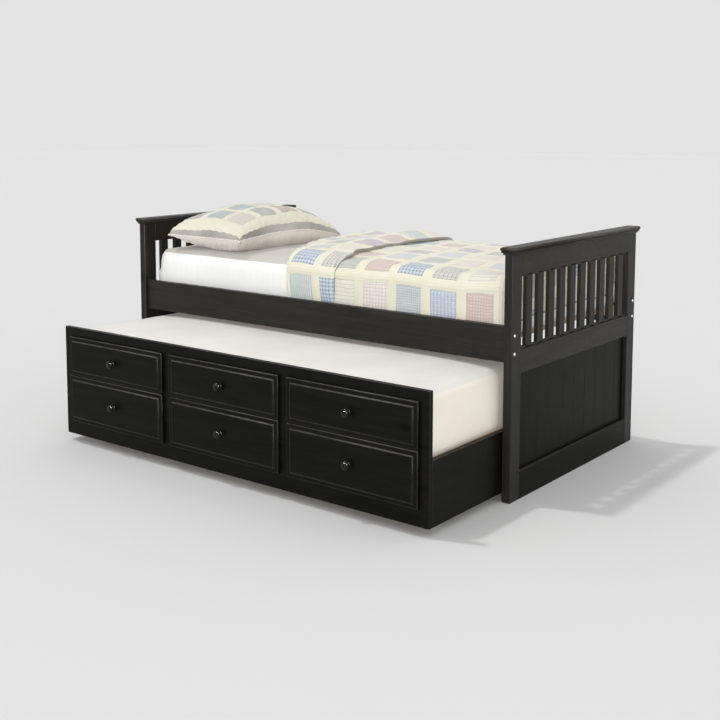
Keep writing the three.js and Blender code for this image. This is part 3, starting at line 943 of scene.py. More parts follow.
@dataclass
class EndPanel:
    """A headboard or footboard: two posts, three rails, boarding below, slats above and a moulded cap."""

    name: str
    boards: BoardRow
    plank: float = 0.096
    slat: float = 0.046
    slat_pitch: float = 0.089
    slat_count: int = 10
    strip: float = 0.007
    nose: float = 0.008
    cove: float = 0.006

    def build(self) -> None:
        """Builds every part of the panel."""
        for post in ("front_post", "rear_post"):
            softened(f"{self.name}_{post}", CHARCOAL, Grain.ALONG_Z, "bed_frame", "charcoal_wood", 0.0025)
        # The bottom rail takes the darker copy of the stain: painted shade, darker towards the bottom of the
        # panel.
        for rail, stain_and_shade in (("top_rail", CHARCOAL), ("mid_rail", CHARCOAL), ("bottom_rail", CHARCOAL_SHADED)):
            softened(f"{self.name}_{rail}", stain_and_shade, Grain.ALONG_Y, "bed_frame", "charcoal_wood")
        self.boarding()
        self.slats()
        self.cap()

    def add(self, part: str, mesh: Mesh, node: str, timber: Material) -> None:
        """Adds one wooden piece of the panel in place of its node."""
        settle(new_piece(f"{self.name}_{part}", worn_and_lit(mesh), [timber]), "bed_frame", "charcoal_wood", node)

    def boarding(self) -> None:
        """Planks side by side, whose softened edges meet in grooves."""
        node = f"{self.name}_boarding"
        low, high, middle = box_of(node)
        count = int((high.y - low.y) / self.plank) - 1
        rest = (high.y - low.y - count * self.plank) / 2
        # The boarding takes the darker copy of the stain: painted shade.
        timber = CHARCOAL_SHADED.cut(Grain.ALONG_Z)
        rows = ((count, self.plank, self.plank), (2, count * self.plank + rest, rest))
        meshes = [self.boards.mesh(stood((middle.x, middle.y, low.z), (90, "Z")), Count=number, Pitch=pitch,
                                   Width=width, Thickness=high.x - low.x, Length=high.z - low.z, Edge=0.0022,
                                   Material=timber) for number, pitch, width in rows]
        self.add("planks", joined(meshes), node, timber)

    def slats(self) -> None:
        """The upper slats, with a thin fillet strip under and over them."""
        node = f"{self.name}_slats"
        low, high, middle = box_of(node)
        timber = CHARCOAL.cut(Grain.ALONG_Z)
        meshes = [self.boards.mesh(stood((middle.x, middle.y, low.z), (90, "Z")), Count=self.slat_count,
                                   Pitch=self.slat_pitch, Width=self.slat, Thickness=high.x - low.x,
                                   Length=high.z - low.z, Edge=0.0025, Material=timber)]
        for height in (low.z + self.strip / 2, high.z - self.strip / 2):
            meshes.append(self.boards.mesh(stood((middle.x, low.y, height), (-90, "X")), Count=1, Pitch=0.1,
                                           Width=high.x - low.x, Thickness=self.strip, Length=high.y - low.y,
                                           Edge=0.0015, Material=timber))
        self.add("slat_row", joined(meshes), node, timber)

    def cap(self) -> None:
        """A cap with a round nose over a small cove."""
        node = f"{self.name}_cap"
        low, high, _ = box_of(node)
        under = high.z - low.z - 2 * self.nose
        foot = self.cove + 0.002
        steps = [(foot + 0.001, 0.0), (foot, 0.001), (foot, under - self.cove)]
        for angle in (math.radians(a) for a in (18, 36, 54, 72, 90)):
            steps.append((foot - self.cove * math.sin(angle), under - self.cove * math.cos(angle)))
        for angle in (math.radians(a) for a in range(-80, 81, 16)):
            steps.append((self.nose * 0.9 * (1 - math.cos(angle)), under + self.nose * (1 + math.sin(angle))))
        steps.append((self.nose + 0.002, under + 2 * self.nose))
        mesh = mesh_of(*moulded(low, high, steps, 2, low.z))
        self.add("cap_moulding", mesh, node, CHARCOAL.cut(Grain.ALONG_Y))


@dataclass
class BedFrame:
    """The standing bed: its two end panels, side rails, cleats, slats and the bolts that hold them."""

    boards: BoardRow
    parts: PartRow
    slat_count: int = 13
    slat_pitch: float = 0.15
    slat: float = 0.072
    slat_thick: float = 0.018
    strap: float = 0.03
    strap_thick: float = 0.0018
    strap_reach: float = 0.33
    bolt_heights: Pair = (0.566, 0.635)
    bolt_reach: float = 0.518

    def build(self) -> None:
        """Builds every part of the frame."""
        for end in ("headboard", "footboard"):
            EndPanel(end, self.boards).build()
        for side in ("front", "rear"):
            softened(f"{side}_side_rail", CHARCOAL, Grain.ALONG_X, "bed_frame", "charcoal_wood")
            softened(f"{side}_cleat", BARE, Grain.ALONG_X, "bed_frame", "bare_wood")
        self.slats()
        self.bolts()

    def slats(self) -> None:
        """The slats under the mattress, tied by two straps."""
        low, high, middle = box_of("bed_slat_deck")
        timber = BARE.cut(Grain.ALONG_Y)
        row = [self.boards.mesh(stood((middle.x, low.y, low.z + self.slat_thick / 2), (-90, "X")),
                                Count=self.slat_count, Pitch=self.slat_pitch, Width=self.slat, Edge=0.003,
                                Thickness=self.slat_thick, Length=high.y - low.y, Material=timber)]
        for y in (middle.y - self.strap_reach, middle.y + self.strap_reach):
            place = stood((low.x, y, high.z - self.strap_thick / 2), (90, "Y"), (90, "Z"))
            row.append(self.boards.mesh(place, Count=1, Pitch=0.1, Width=self.strap, Edge=0.0005,
                                        Thickness=self.strap_thick, Length=high.x - low.x, Material=timber))
        settle(new_piece("bed_slats", worn_and_lit(joined(row)), [timber]), "bed_frame", "bare_wood", "bed_slat_deck")

    def bolts(self) -> None:
        """Two domed bolts with washers through each post."""
        profile = [(0.0, 0.0), (0.0065, 0.0), (0.0068, 0.0005), (0.0065, 0.0011), (0.0055, 0.0012),
                   (0.0054, 0.0022), (0.0044, 0.0034), (0.0028, 0.0039), (0.0025, 0.0028), (0.0, 0.0028)]
        part = new_piece("bolt", mesh_of(*turned(profile, 28)), [STEEL.material()])
        centre = box_of("headboard_top_rail")[2].y
        base, step = self.bolt_heights[0], self.bolt_heights[1] - self.bolt_heights[0]
        rows = []
        for end, panel in ((-1, "headboard"), (1, "footboard")):
            low, high, _ = box_of(f"{panel}_front_post")
            face = (high.x if end > 0 else low.x) - end * 0.0003
            for y in (centre - self.bolt_reach, centre + self.bolt_reach):
                rows.append(self.parts.mesh(Part=part, Count=2, Step=(0.0, 0.0, step), Start=(face, y, base),
                                            Turn=(0.0, end * math.pi / 2, 0.0), Material=STEEL.material()))
        bpy.data.objects.remove(part)
        settle(new_piece("post_bolts", joined(rows), [STEEL.material()]), "bed_frame", "steel")


# ---------------------------------------------------------------- the trundle and its drawers


@dataclass
class DrawerFace:
    """A moulded front with a rounded edge, a band and a raised field, and a turned knob on it."""

    front: str
    knob: str
    body: str
    edge: float = 0.004
    band: float = 0.019
    band_thick: float = 0.0135

    def build(self) -> None:
        """Builds the front and its knob."""
        low, high, _ = box_of(self.front)
        rise = high.y - low.y - self.band_thick
        steps = [(0.0006, 0.0), (0.0, -0.0006), (0.0, self.edge - self.band_thick)]
        steps += quarter(0.0, self.edge - self.band_thick, -self.edge)
        steps += [(self.band - 0.003, -self.band_thick), (self.band - 0.0015, 0.0008 - self.band_thick),
                  (self.band, -self.band_thick)]
        steps += quarter(self.band, -self.band_thick, -rise)
        mesh = worn_and_lit(mesh_of(*moulded(low, high, steps, 1, high.y)))
        # The drawer fronts take the darker copy of the stain: painted shade.
        piece = new_piece(f"{self.front}_panel", mesh, [CHARCOAL_SHADED.cut(Grain.ALONG_X)])
        settle(piece, self.body, "charcoal_wood", self.front)
        self.turn_knob()

    def turn_knob(self) -> None:
        """Turns the knob: a foot, a waist and a flattened ball."""
        low, high, middle = box_of(self.knob)
        radius, proud = (high.x - low.x) / 2, high.y - low.y
        shares = [(0.0, 0.0), (0.55, 0.0), (0.58, 0.05), (0.5, 0.1), (0.4, 0.18), (0.38, 0.26), (0.5, 0.36),
                  (0.8, 0.44), (0.96, 0.53), (1.0, 0.62), (0.95, 0.74), (0.78, 0.87), (0.5, 0.96),
                  (0.24, 0.995), (0.0, 1.0)]
        profile = flow([(radius * r, proud * h) for r, h in shares])
        mesh = mesh_of(*turned(profile, 56))
        mesh.transform(stood((middle.x, high.y, middle.z), (90, "X")))
        piece = new_piece(f"{self.knob}_turned", mesh, [LACQUER.material()])
        settle(piece, self.body, "black_knob", self.knob)


@dataclass
class Caster:
    """A fixed caster under the trundle: a bent plate bracket, an axle and a wheel."""

    name: str
    plate: float = 0.0025
    cheek: float = 0.0125
    axle: float = 0.004
    play: float = 0.0002
    washer: float = 0.0065
    segments: int = 56

    def build(self) -> None:
        """Builds the bracket and the wheel."""
        self.bracket()
        self.wheel()

    def bracket(self) -> None:
        """Two bent cheeks under a top plate, and the axle between them."""
        node = f"caster_bracket_{self.name}"
        low, high, middle = box_of(node)
        hub = box_of(f"caster_wheel_{self.name}")[2]
        half = (high.y - low.y) / 2
        right = [(half, high.z - self.plate), (half, high.z - 0.008), (half * 0.62, high.z - 0.014),
                 (0.013, hub.z + 0.004), (0.0075, low.z + 0.0015)]
        outline = right + [(0.0, low.z)] + [(-y, z) for y, z in reversed(right)]
        vertices: list[Vector] = []
        faces: list[list[int]] = []
        count = len(outline)
        for side in (-1, 1):
            base = len(vertices)
            for offset in (self.cheek, self.cheek + self.plate):
                vertices += [Vector((hub.x + side * offset, hub.y + y, z)) for y, z in outline]
            walls = ring_faces(2, count, closed=False) + [list(range(count)), list(range(count, 2 * count))]
            faces += [[base + i for i in face] for face in walls]
        plate, plate_faces = moulded(low, high, [(0.001, 0.0), (0.0, 0.0006), (0.0, self.plate - 0.0006),
                                                 (0.001, self.plate)], 2, high.z - self.plate)
        faces += [[len(vertices) + i for i in face] for face in plate_faces]
        vertices += plate
        reach = self.cheek + self.plate
        head = [(self.axle - self.play, reach), (self.washer, reach), (self.washer, reach + 0.002),
                (self.axle, reach + 0.003), (0.0, reach + 0.003)]
        profile = [(r, -x) for r, x in reversed(head)] + head
        turn = stood(hub, (90, "Y"))
        rod, rod_faces = turned(profile, 24)
        faces += [[len(vertices) + i for i in face] for face in rod_faces]
        vertices += [turn @ point for point in rod]
        piece = new_piece(f"{node}_plate", mesh_of(vertices, faces, smooth=False), [STEEL.material()])
        settle(piece, "trundle", "steel", node)

    def wheel(self) -> None:
        """A wheel with a rounded tread, a dished side and a hub, bored for the axle."""
        node = f"caster_wheel_{self.name}"
        low, high, hub = box_of(node)
        radius, half = (high.z - low.z) / 2, (high.x - low.x) / 2
        side = [(0.175, 1.0), (0.34, 1.0), (0.38, 0.9), (0.4, 0.62), (0.72, 0.55), (0.8, 0.62), (0.84, 0.86),
                (0.9, 0.94), (0.97, 0.84), (1.0, 0.62), (1.0, 0.22), (0.975, 0.16), (0.975, 0.06)]
        loop = [(radius * r, half * h) for r, h in side]
        loop += [(r, -h) for r, h in reversed(loop)]
        angles = [math.tau * step / self.segments for step in range(self.segments)]
        vertices = [Vector((h, r * math.cos(a), r * math.sin(a))) + hub for a in angles for r, h in loop]
        mesh = mesh_of(vertices, ring_faces(self.segments, len(loop)))
        mesh.set_sharp_from_angle(angle=math.radians(50))
        piece = new_piece(f"{node}_turned", mesh, [TREAD.material()])
        settle(piece, f"wheel_{self.name}", "wheel_tread", node)


@dataclass
class Trundle:
    """The wheeled trundle: a carcase with false fronts, three drawers and four casters."""

    columns: tuple[str, ...] = ("left", "middle", "right")

    def build(self) -> None:
        """Builds the trundle, its drawers and its casters."""
        # The trundle's carcase takes the darker copy of the stain: painted shade.
        for node, grain in (("trundle_front", Grain.ALONG_X), ("trundle_left_side", Grain.ALONG_Y),
                            ("trundle_right_side", Grain.ALONG_Y), ("trundle_back", Grain.ALONG_X)):
            softened(node, CHARCOAL_SHADED, grain, "trundle", "charcoal_wood")
        for node, grain in (("trundle_left_divider", Grain.ALONG_Y), ("trundle_right_divider", Grain.ALONG_Y),
                            ("trundle_deck", Grain.ALONG_X), ("trundle_front_cross_rail", Grain.ALONG_X),
                            ("trundle_rear_cross_rail", Grain.ALONG_X)):
            softened(node, BARE, grain, "trundle", "bare_wood")
        for column in self.columns:
            DrawerFace(f"false_front_{column}", f"false_knob_{column}", "trundle").build()
            DrawerFace(f"drawer_front_{column}", f"drawer_knob_{column}", f"drawer_{column}").build()
            softened(f"drawer_box_{column}", BARE, Grain.ALONG_Y, f"drawer_{column}", "bare_wood", 0.0012)
            softened(f"drawer_bottom_{column}", BARE, Grain.ALONG_X, f"drawer_{column}", "bare_wood", 0.0006)
        for name in ("front_left", "front_right", "rear_left", "rear_right"):
            Caster(name).build()


# ---------------------------------------------------------------- the bedding


def ripple(point: Vector, scale: float, octaves: int = 2) -> float:
    """Soft noise between about -1 and 1, the same on each run."""
    return noise.fractal(point * scale, 1.0, 2.0, octaves, noise_basis="PERLIN_ORIGINAL")


@dataclass
class Mattress:
    """A mattress: a rounded block with a crowned top and sides that swell a little."""

    node: str
    top: Cotton
    side: Cotton
    body: str
    slot: str
    crown: float = 0.016
    round: float = 0.045
    under_round: float = 0.016
    step: float = 0.028
    tuck: float = 0.004

    def build(self) -> None:
        """Builds the mattress."""
        low, high, middle = box_of(self.node)
        half = (high - low) / 2
        vertices, faces = self.block(half)
        mesh = mesh_of([self.shaped(Vector(v), half) + middle for v in vertices], faces)
        for face in mesh.polygons:
            # Faces that face up take the top finish; on the bed mattress that is a darker copy of the sheet,
            # painted shade.
            face.material_index = 1 if face.normal.z > 0.62 else 0
        piece = new_piece(f"{self.node}_padded", mesh, [self.side.material(), self.top.material()])
        settle(piece, self.body, self.slot, self.node)

    def block(self, half: Vector) -> tuple[list[tuple[float, ...]], list[list[int]]]:
        """The six sides of a block as grids, in shares from -1 to 1.

        Args:
            half: Half of the block's size.

        Returns:
            The vertices and faces.
        """
        vertices: list[tuple[float, ...]] = []
        faces: list[list[int]] = []
        for axis, side in ((a, s) for a in range(3) for s in (-1.0, 1.0)):
            first, second = [index for index in range(3) if index != axis]
            long, wide = (max(6, int(2 * half[index] / self.step)) for index in (first, second))
            base, row = len(vertices), wide + 1
            for i, j in ((i, j) for i in range(long + 1) for j in range(wide + 1)):
                point = [side, side, side]
                point[first], point[second] = 2 * i / long - 1, 2 * j / wide - 1
                vertices.append(tuple(point))
            faces += [[base + i * row + j, base + (i + 1) * row + j, base + (i + 1) * row + j + 1,
                       base + i * row + j + 1] for i in range(long) for j in range(wide)]
        return vertices, faces

    def shaped(self, share: Vector, half: Vector) -> Vector:
        """Rounds, crowns and crinkles one point of the block.

        Args:
            share: The point's place as shares of the block.
            half: Half of the block's size.

        Returns:
            The point, from the block's middle.
        """
        point = Vector(share[i] * half[i] for i in range(3))
        radius = self.round if share.z > 0 else self.under_round
        core = Vector(max(-half[i] + radius, min(half[i] - radius, point[i])) for i in range(3))
        away = point - core
        if away.length > 1e-6:
            point = core + away.normalized() * radius
        flat = (1 - share.x ** 6) * (1 - share.y ** 6)
        if share.z > 0:
            point.z += self.crown * flat * share.z
        drawn_in = self.tuck * math.sin(math.pi * share.z / 2) ** 2
        point.x -= math.copysign(drawn_in, point.x) * (abs(share.x) > 0.99)
        point.y -= math.copysign(drawn_in, point.y) * (abs(share.y) > 0.99)
        return point + Vector((0.0, 0.0, 0.0016 * ripple(point, 5.0) * (share.z > 0.5)))


def tube(path: Sequence[Vector], radius: float, sides: int = 8) -> Mesh:
    """A closed tube along a closed path.

    Args:
        path: The path's points.
        radius: The tube's radius.
        sides: How many sides it has.

    Returns:
        The tube's mesh.
    """
    vertices = []
    count = len(path)
    for index, point in enumerate(path):
        ahead = (path[(index + 1) % count] - path[index - 1]).normalized()
        across = ahead.cross(Vector((0.0, 0.0, 1.0))).normalized()
        up = across.cross(ahead)
        for angle in (math.tau * step / sides for step in range(sides)):
            vertices.append(point + radius * (across * math.cos(angle) + up * math.sin(angle)))
    return mesh_of(vertices, ring_faces(count, sides))


@dataclass(frozen=True)
class Section:
    """A slice across the bed through the quilt: up one side, over the top and down the other."""

    half: float
    top: float
    radius: float
    foot: float
    centre: float

    @property
    def rise(self) -> float:
        """Where the rounding over the top begins."""
        return self.top - self.radius

    @property
    def length(self) -> float:
        """The way from one lower edge to the other."""
        return 2 * (self.rise - self.foot) + math.pi * self.radius + 2 * (self.half - self.radius)

    def at(self, way: Array) -> tuple[Array, Array]:
        """Points on the slice.

        Args:
            way: How far along the slice each point is, with the front drop measured by its height.

        Returns:
            The points' Y and Z.
        """
        arc = math.pi * self.radius / 2
        flat = 2 * (self.half - self.radius)
        one = way - self.rise
        two, three = one - arc, one - arc - flat
        four = three - arc
        first = np.clip(one, 0, arc) / self.radius
        second = np.clip(three, 0, arc) / self.radius
        y = self.centre - self.half + self.radius * (1 - np.cos(first)) + np.clip(two, 0, flat)
        y = y + self.radius * np.sin(second)
        z = self.rise + np.minimum(one, 0) + self.radius * np.sin(first) - self.radius * (1 - np.cos(second))
        return y, z - np.maximum(four, 0)


@dataclass
class Quilt:
    """A pieced quilt, folded back on itself at the head end and draped over the mattress's sides and foot."""

    flat: Pair = (1.52, 2.03)
    pitch: float = 0.165
    foot_x: float = 0.956
    foot_round: float = 0.03
    flap: float = 0.17
    roll: float = 0.012
    columns: int = 168
    rows_main: int = 176
    rows_back: int = 60
    first_column: float = 0.1115
    first_row: float = 0.6315
    lean: float = 0.12
    thickness: float = 0.015
    # How wide the dark edge strip on the folded edge is; it paints a shadow line.
    shadow_binding_width: float = 0.0035
    side_from: float = 0.435
    overhang: float = 0.014
    fold: tuple[Pair, ...] = ((-0.5, -0.105), (-0.44, -0.12), (-0.3, -0.22), (-0.1, -0.31),
                                             (0.24, -0.4), (0.5, -0.41))
    free: tuple[Pair, ...] = ((-0.5, 0.15), (-0.47, 0.165), (-0.44, 0.178), (-0.4, 0.165), (-0.35, 0.135),
                                             (-0.3, 0.115), (0.0, 0.108), (0.5, 0.11))
    grid: tuple[Pair, ...] = ((-0.5, 0.2205), (-0.44, 0.2205), (-0.36, 0.19), (-0.28, 0.15),
                                             (-0.2, 0.135), (0.5, 0.13))
    drop_rows: tuple[str, ...] = (
        "slate_check lilac cream_stripe pink_grid slate_check blue_dots rose_check cream_ditsy",
        "lilac sage_check sage_check rose_check blue_gingham black_dotted cream_stripe lilac",
        "blue_gingham cream_ditsy rose_check mist_blue sage_check pink_grid mist_blue lilac",
        "sage_check mist_blue cream_stripe lilac mist_blue cream_ditsy sage_check rose_check",
        "cream_ditsy rose_check sage_stripe pink_grid lilac sage_check cream_stripe blue_dots",
    )
    back_rows: tuple[str, ...] = (
        "blue_gingham sage_stripe rose_check cream_ditsy",
        "black_dotted blue_gingham cream_stripe sage_check",
        "cream_ditsy sage_stripe lilac cream_stripe",
        "lilac sage_check cream_ditsy rose_check",
        "rose_check mist_blue slate_check lilac",
        "sage_stripe cream_ditsy rose_check sage_check",
        "cream_ditsy rose_check lilac mist_blue",
        "slate_check lilac mist_blue rose_check",
    )

    def build(self) -> None:
        """Builds the quilt as one padded sheet."""
        low, high, middle = box_of("bed_mattress")
        self.centre = middle.y
        self.under = Section(high.y - middle.y + 0.010, high.z + 0.027, 0.058, 0.626, middle.y)
        self.over = Section(high.y - middle.y + 0.0115, high.z + 0.043, 0.068, 0.636, middle.y)
        points, cloth, back = self.surface()
        mesh = self.sheet_mesh(points, cloth, back)
        # The last material, the dark binding, paints a shadow line along the quilt's edges.
        piece = new_piece("quilt_cloth", mesh, [finish.material() for finish in (*PRINTS.values(), SHADOW_BINDING)])
        solid = piece.modifiers.new("loft", "SOLIDIFY")
        solid.thickness = self.thickness
        solid.offset = 0.0
        solid.vertex_group = "loft"
        solid.thickness_vertex_group = 0.2
        solid.use_even_offset = False
        baked(piece)
        settle(piece, "bed_frame", "quilt_patchwork", "quilt")

    def surface(self) -> tuple[Array, Array, Array]:
        """Lays out the cloth's middle surface.

        Returns:
            The points, the cloth coordinates in metres, and for each row whether it is folded back.
        """
        share = np.linspace(0.0, 1.0, self.columns + 1)
        under_way = self.under.foot + share * self.under.length
        over_way = self.over.foot + share * self.over.length
        under_y, under_z = self.under.at(under_way)
        over_y, over_z = self.over.at(over_way)
        across = np.clip(over_y - self.centre, -0.5, 0.5)
        fold = np.interp(across, *np.array(self.fold).T)
        free = np.interp(across, *np.array(self.free).T)
        curl = math.pi * self.roll / 2
        reach = free - fold - self.roll + curl
        grid = np.interp(across, *np.array(self.grid).T)
        points, cloth, back = [], [], []
        for row in range(-self.rows_back, self.rows_main + 1):
            if row == -self.rows_back:
                way = -reach
            elif row < 0:
                way = (reach - self.shadow_binding_width) * (row / (self.rows_back - 1))
            else:
                way = (self.foot_x - fold + self.flap) * (row / self.rows_main)
            angle = np.clip(way / self.roll, -math.pi / 2, math.pi / 2)
            mix = 0.5 + 0.5 * np.sin(angle)
            x = fold + self.roll * (1 - np.cos(angle)) + np.maximum(np.abs(way) - curl, 0)
            y = mix * under_y + (1 - mix) * over_y
            z = mix * under_z + (1 - mix) * over_z
            at = self.heap(np.array([x, y, z]), across, mix, free)
            points.append(self.turn_down(at, across).T)
            plain = fold + self.roll - curl + np.abs(way)
            if row < 0:
                cloth.append(np.stack([grid - plain, over_way - self.first_row], 1))
            else:
                skew = self.lean * (across + 0.5)
                cloth.append(np.stack([plain + skew - self.first_column, under_way - self.first_row], 1))
            back.append(row < 0)
        return np.array(points), np.array(cloth), np.array(back)

    def heap(self, at: Array, across: Array, mix: Array, free: Array) -> Array:
        """Raises the top in the middle, heaps the folded part and adds soft waves.

        Args:
            at: The row's X, Y and Z.
            across: Its place across the bed.
            mix: 1 where it lies flat and 0 where it is folded back.
            free: Where the folded part ends.

        Returns:
            The row's X, Y and Z.
        """
        x, y, z = at
        top = np.clip((0.46 - np.abs(across)) / 0.12, 0, 1)
        top = top * top * (3 - 2 * top)
        z = z + top * 0.010 * (1 - (across / 0.5) ** 2)
        rear = np.clip((across + 0.35) / 0.6, 0, 1)
        far = np.clip((x - free + 0.36) / 0.24, 0, 1)
        near = np.clip((x - free + 0.075) / 0.075, 0, 1)
        fall = near * near * (3 - 2 * near)
        mound = (1 - mix) * (0.004 + 0.028 * rear) * far * (1 - 0.85 * fall)
        z = z + top * (mound - 0.012 * (1 - far))
        hem = np.clip((x - free + 0.018) / 0.018, 0, 1) * (1 - mix)
        bulge = (1 - mix) * np.clip((z - 0.672) / 0.05, 0, 1) * np.clip((0.86 - z) / 0.06, 0, 1)
        drawn_in = hem * hem * 0.012 * np.clip((z - 0.66) / 0.05, 0.2, 1) * (1 - top)
        y = y + np.sign(across) * (bulge * 0.011 - drawn_in)
        z = z - top * hem * hem * 0.004
        shape = np.zeros_like(x)
        for index in range(len(x)):
            place = Vector((x[index], y[index], z[index] + 3.0 * (1 - mix[index])))
            shape[index] = ripple(place, 4.5, 3) * 0.6 + ripple(place + Vector((9.0, 0, 0)), 13.0, 2) * 0.22
        side = np.clip((0.79 - z) / 0.05, 0, 1)
        z = z + (1 - side) * shape * 0.012
        y = y + side * shape * 0.004 * np.sign(-across)
        return np.array([x, y, z])

    def turn_down(self, at: Array, across: Array) -> Array:
        """Turns the cloth down over the foot end of the mattress.

        Args:
            at: The row's X, Y and Z, as if the cloth went on straight.
            across: Its place across the bed.

        Returns:
            The row's X, Y and Z.
        """
        x, y, z = at
        start = self.foot_x - self.foot_round
        past = np.maximum(x - start, 0)
        angle = np.clip(past / self.foot_round, 0, math.pi / 2)
        down = self.foot_round * (1 - np.cos(angle)) + np.maximum(past - self.foot_round * math.pi / 2, 0)
        wave = 0.004 * np.sin(38 * y) * np.clip(down / 0.08, 0, 1)
        top = np.clip((0.47 - np.abs(across)) / 0.07, 0, 1)
        x = np.where(past > 0, start + self.foot_round * np.sin(angle) + wave, x)
        y = y - np.sign(across) * (1 - top) * np.minimum(down, 0.05) * 0.9
        return np.array([x, y, z - top * down])

    def sheet_mesh(self, points: Array, cloth: Array, back: Array) -> Mesh:
        """Makes the mesh of the middle surface, with its prints, cloth coordinates and loft.

        Args:
            points: The rows of points.
            cloth: The rows of cloth coordinates.
            back: Whether each row is folded back.

        Returns:
            The mesh.
        """
        rows, width = points.shape[:2]
        names = list(PRINTS)
        edge = self.foot_x + self.overhang + 0.0035 * np.sin(np.linspace(0, 46, width))
        aside = points[:-1, :, 1] - self.centre
        plain = cloth[1:, :, 0] - self.lean * (np.clip(aside, -0.5, 0.5) + 0.5) + self.first_column
        cut_off = (np.abs(aside) > self.side_from) & (plain > edge)
        mesh = bpy.data.meshes.new("quilt")
        faces, prints, corners = [], [], []
        seam = int(np.argmax(~back))
        for row in range(rows - 1):
            folded = row < seam
            for column in range(width - 1):
                if cut_off[row, column]:
                    continue
                here = row * width + column
                faces.append((here, here + width, here + width + 1, here + 1))
                spots = [cloth[row, column], cloth[row + 1, column], cloth[row + 1, column + 1],
                         cloth[row, column + 1]]
                if folded and row + 1 == seam:
                    shift = cloth[row, column][0] - cloth[row - 1, column][0]
                    for corner, source in ((1, 0), (2, 3)):
                        spots[corner] = spots[source] + np.array([shift, 0.0])
                corners += [tuple(spot) for spot in spots]
                # The first and last rows of faces take the dark binding: painted shadow along the folded edge
                # and the foot hem.
                shadow_bound_row = row in (0, rows - 2)
                prints.append(len(names) if shadow_bound_row else names.index(self.print_at(sum(spots) / 4, folded)))
        mesh.from_pydata([tuple(point) for point in points.reshape(-1, 3)], [], faces)
        layer = mesh.uv_layers.new(name="cloth")
        layer.data.foreach_set("uv", np.array(corners, dtype=np.float32).ravel())
        mesh.polygons.foreach_set("material_index", prints)
        mesh.polygons.foreach_set("use_smooth", [True] * len(faces))
        self.lofted(mesh, cloth)
        return mesh

    def print_at(self, spot: Array, folded: bool) -> str:
        """The print of the patch at a place on the cloth.

        Args:
            spot: The cloth coordinates.
            folded: Whether the place is on the folded part.

        Returns:
            The print's name.
        """
        column, row = (int(math.floor(value / self.pitch)) for value in spot)
        if folded:
            line = self.back_rows[row % len(self.back_rows)].split()
            return line[column % len(line)]
        line = self.drop_rows[row % len(self.drop_rows)].split()
        return line[(column + 2 + 3 * (row // len(self.drop_rows))) % len(line)]

    def lofted(self, mesh: Mesh, cloth: Array) -> None:
        """Gives each point its share of the quilt's loft: thin at seams, full in patches.

        Args:
            mesh: The mesh.
            cloth: The rows of cloth coordinates.
        """
        inside = np.abs(np.mod(cloth / self.pitch, 1.0) - 0.5) * 2
        square = inside.max(axis=2)
        seam = np.abs(square - 0.727)
        loft = np.clip(0.35 + 0.65 * np.clip(seam / 0.2, 0, 1) ** 0.6, 0, 1)
        loft[0, :] = 0.45
        loft[1:4, :] = 0.95
        weights = loft.ravel()
        group = bpy.data.objects.new("weights", mesh)
        bpy.context.scene.collection.objects.link(group)
        made = group.vertex_groups.new(name="loft")
        for level in range(21):
            members = np.nonzero(np.round(weights * 20).astype(int) == level)[0].tolist()
            if members:
                made.add(members, level / 20, "REPLACE")
        bpy.data.objects.remove(group)


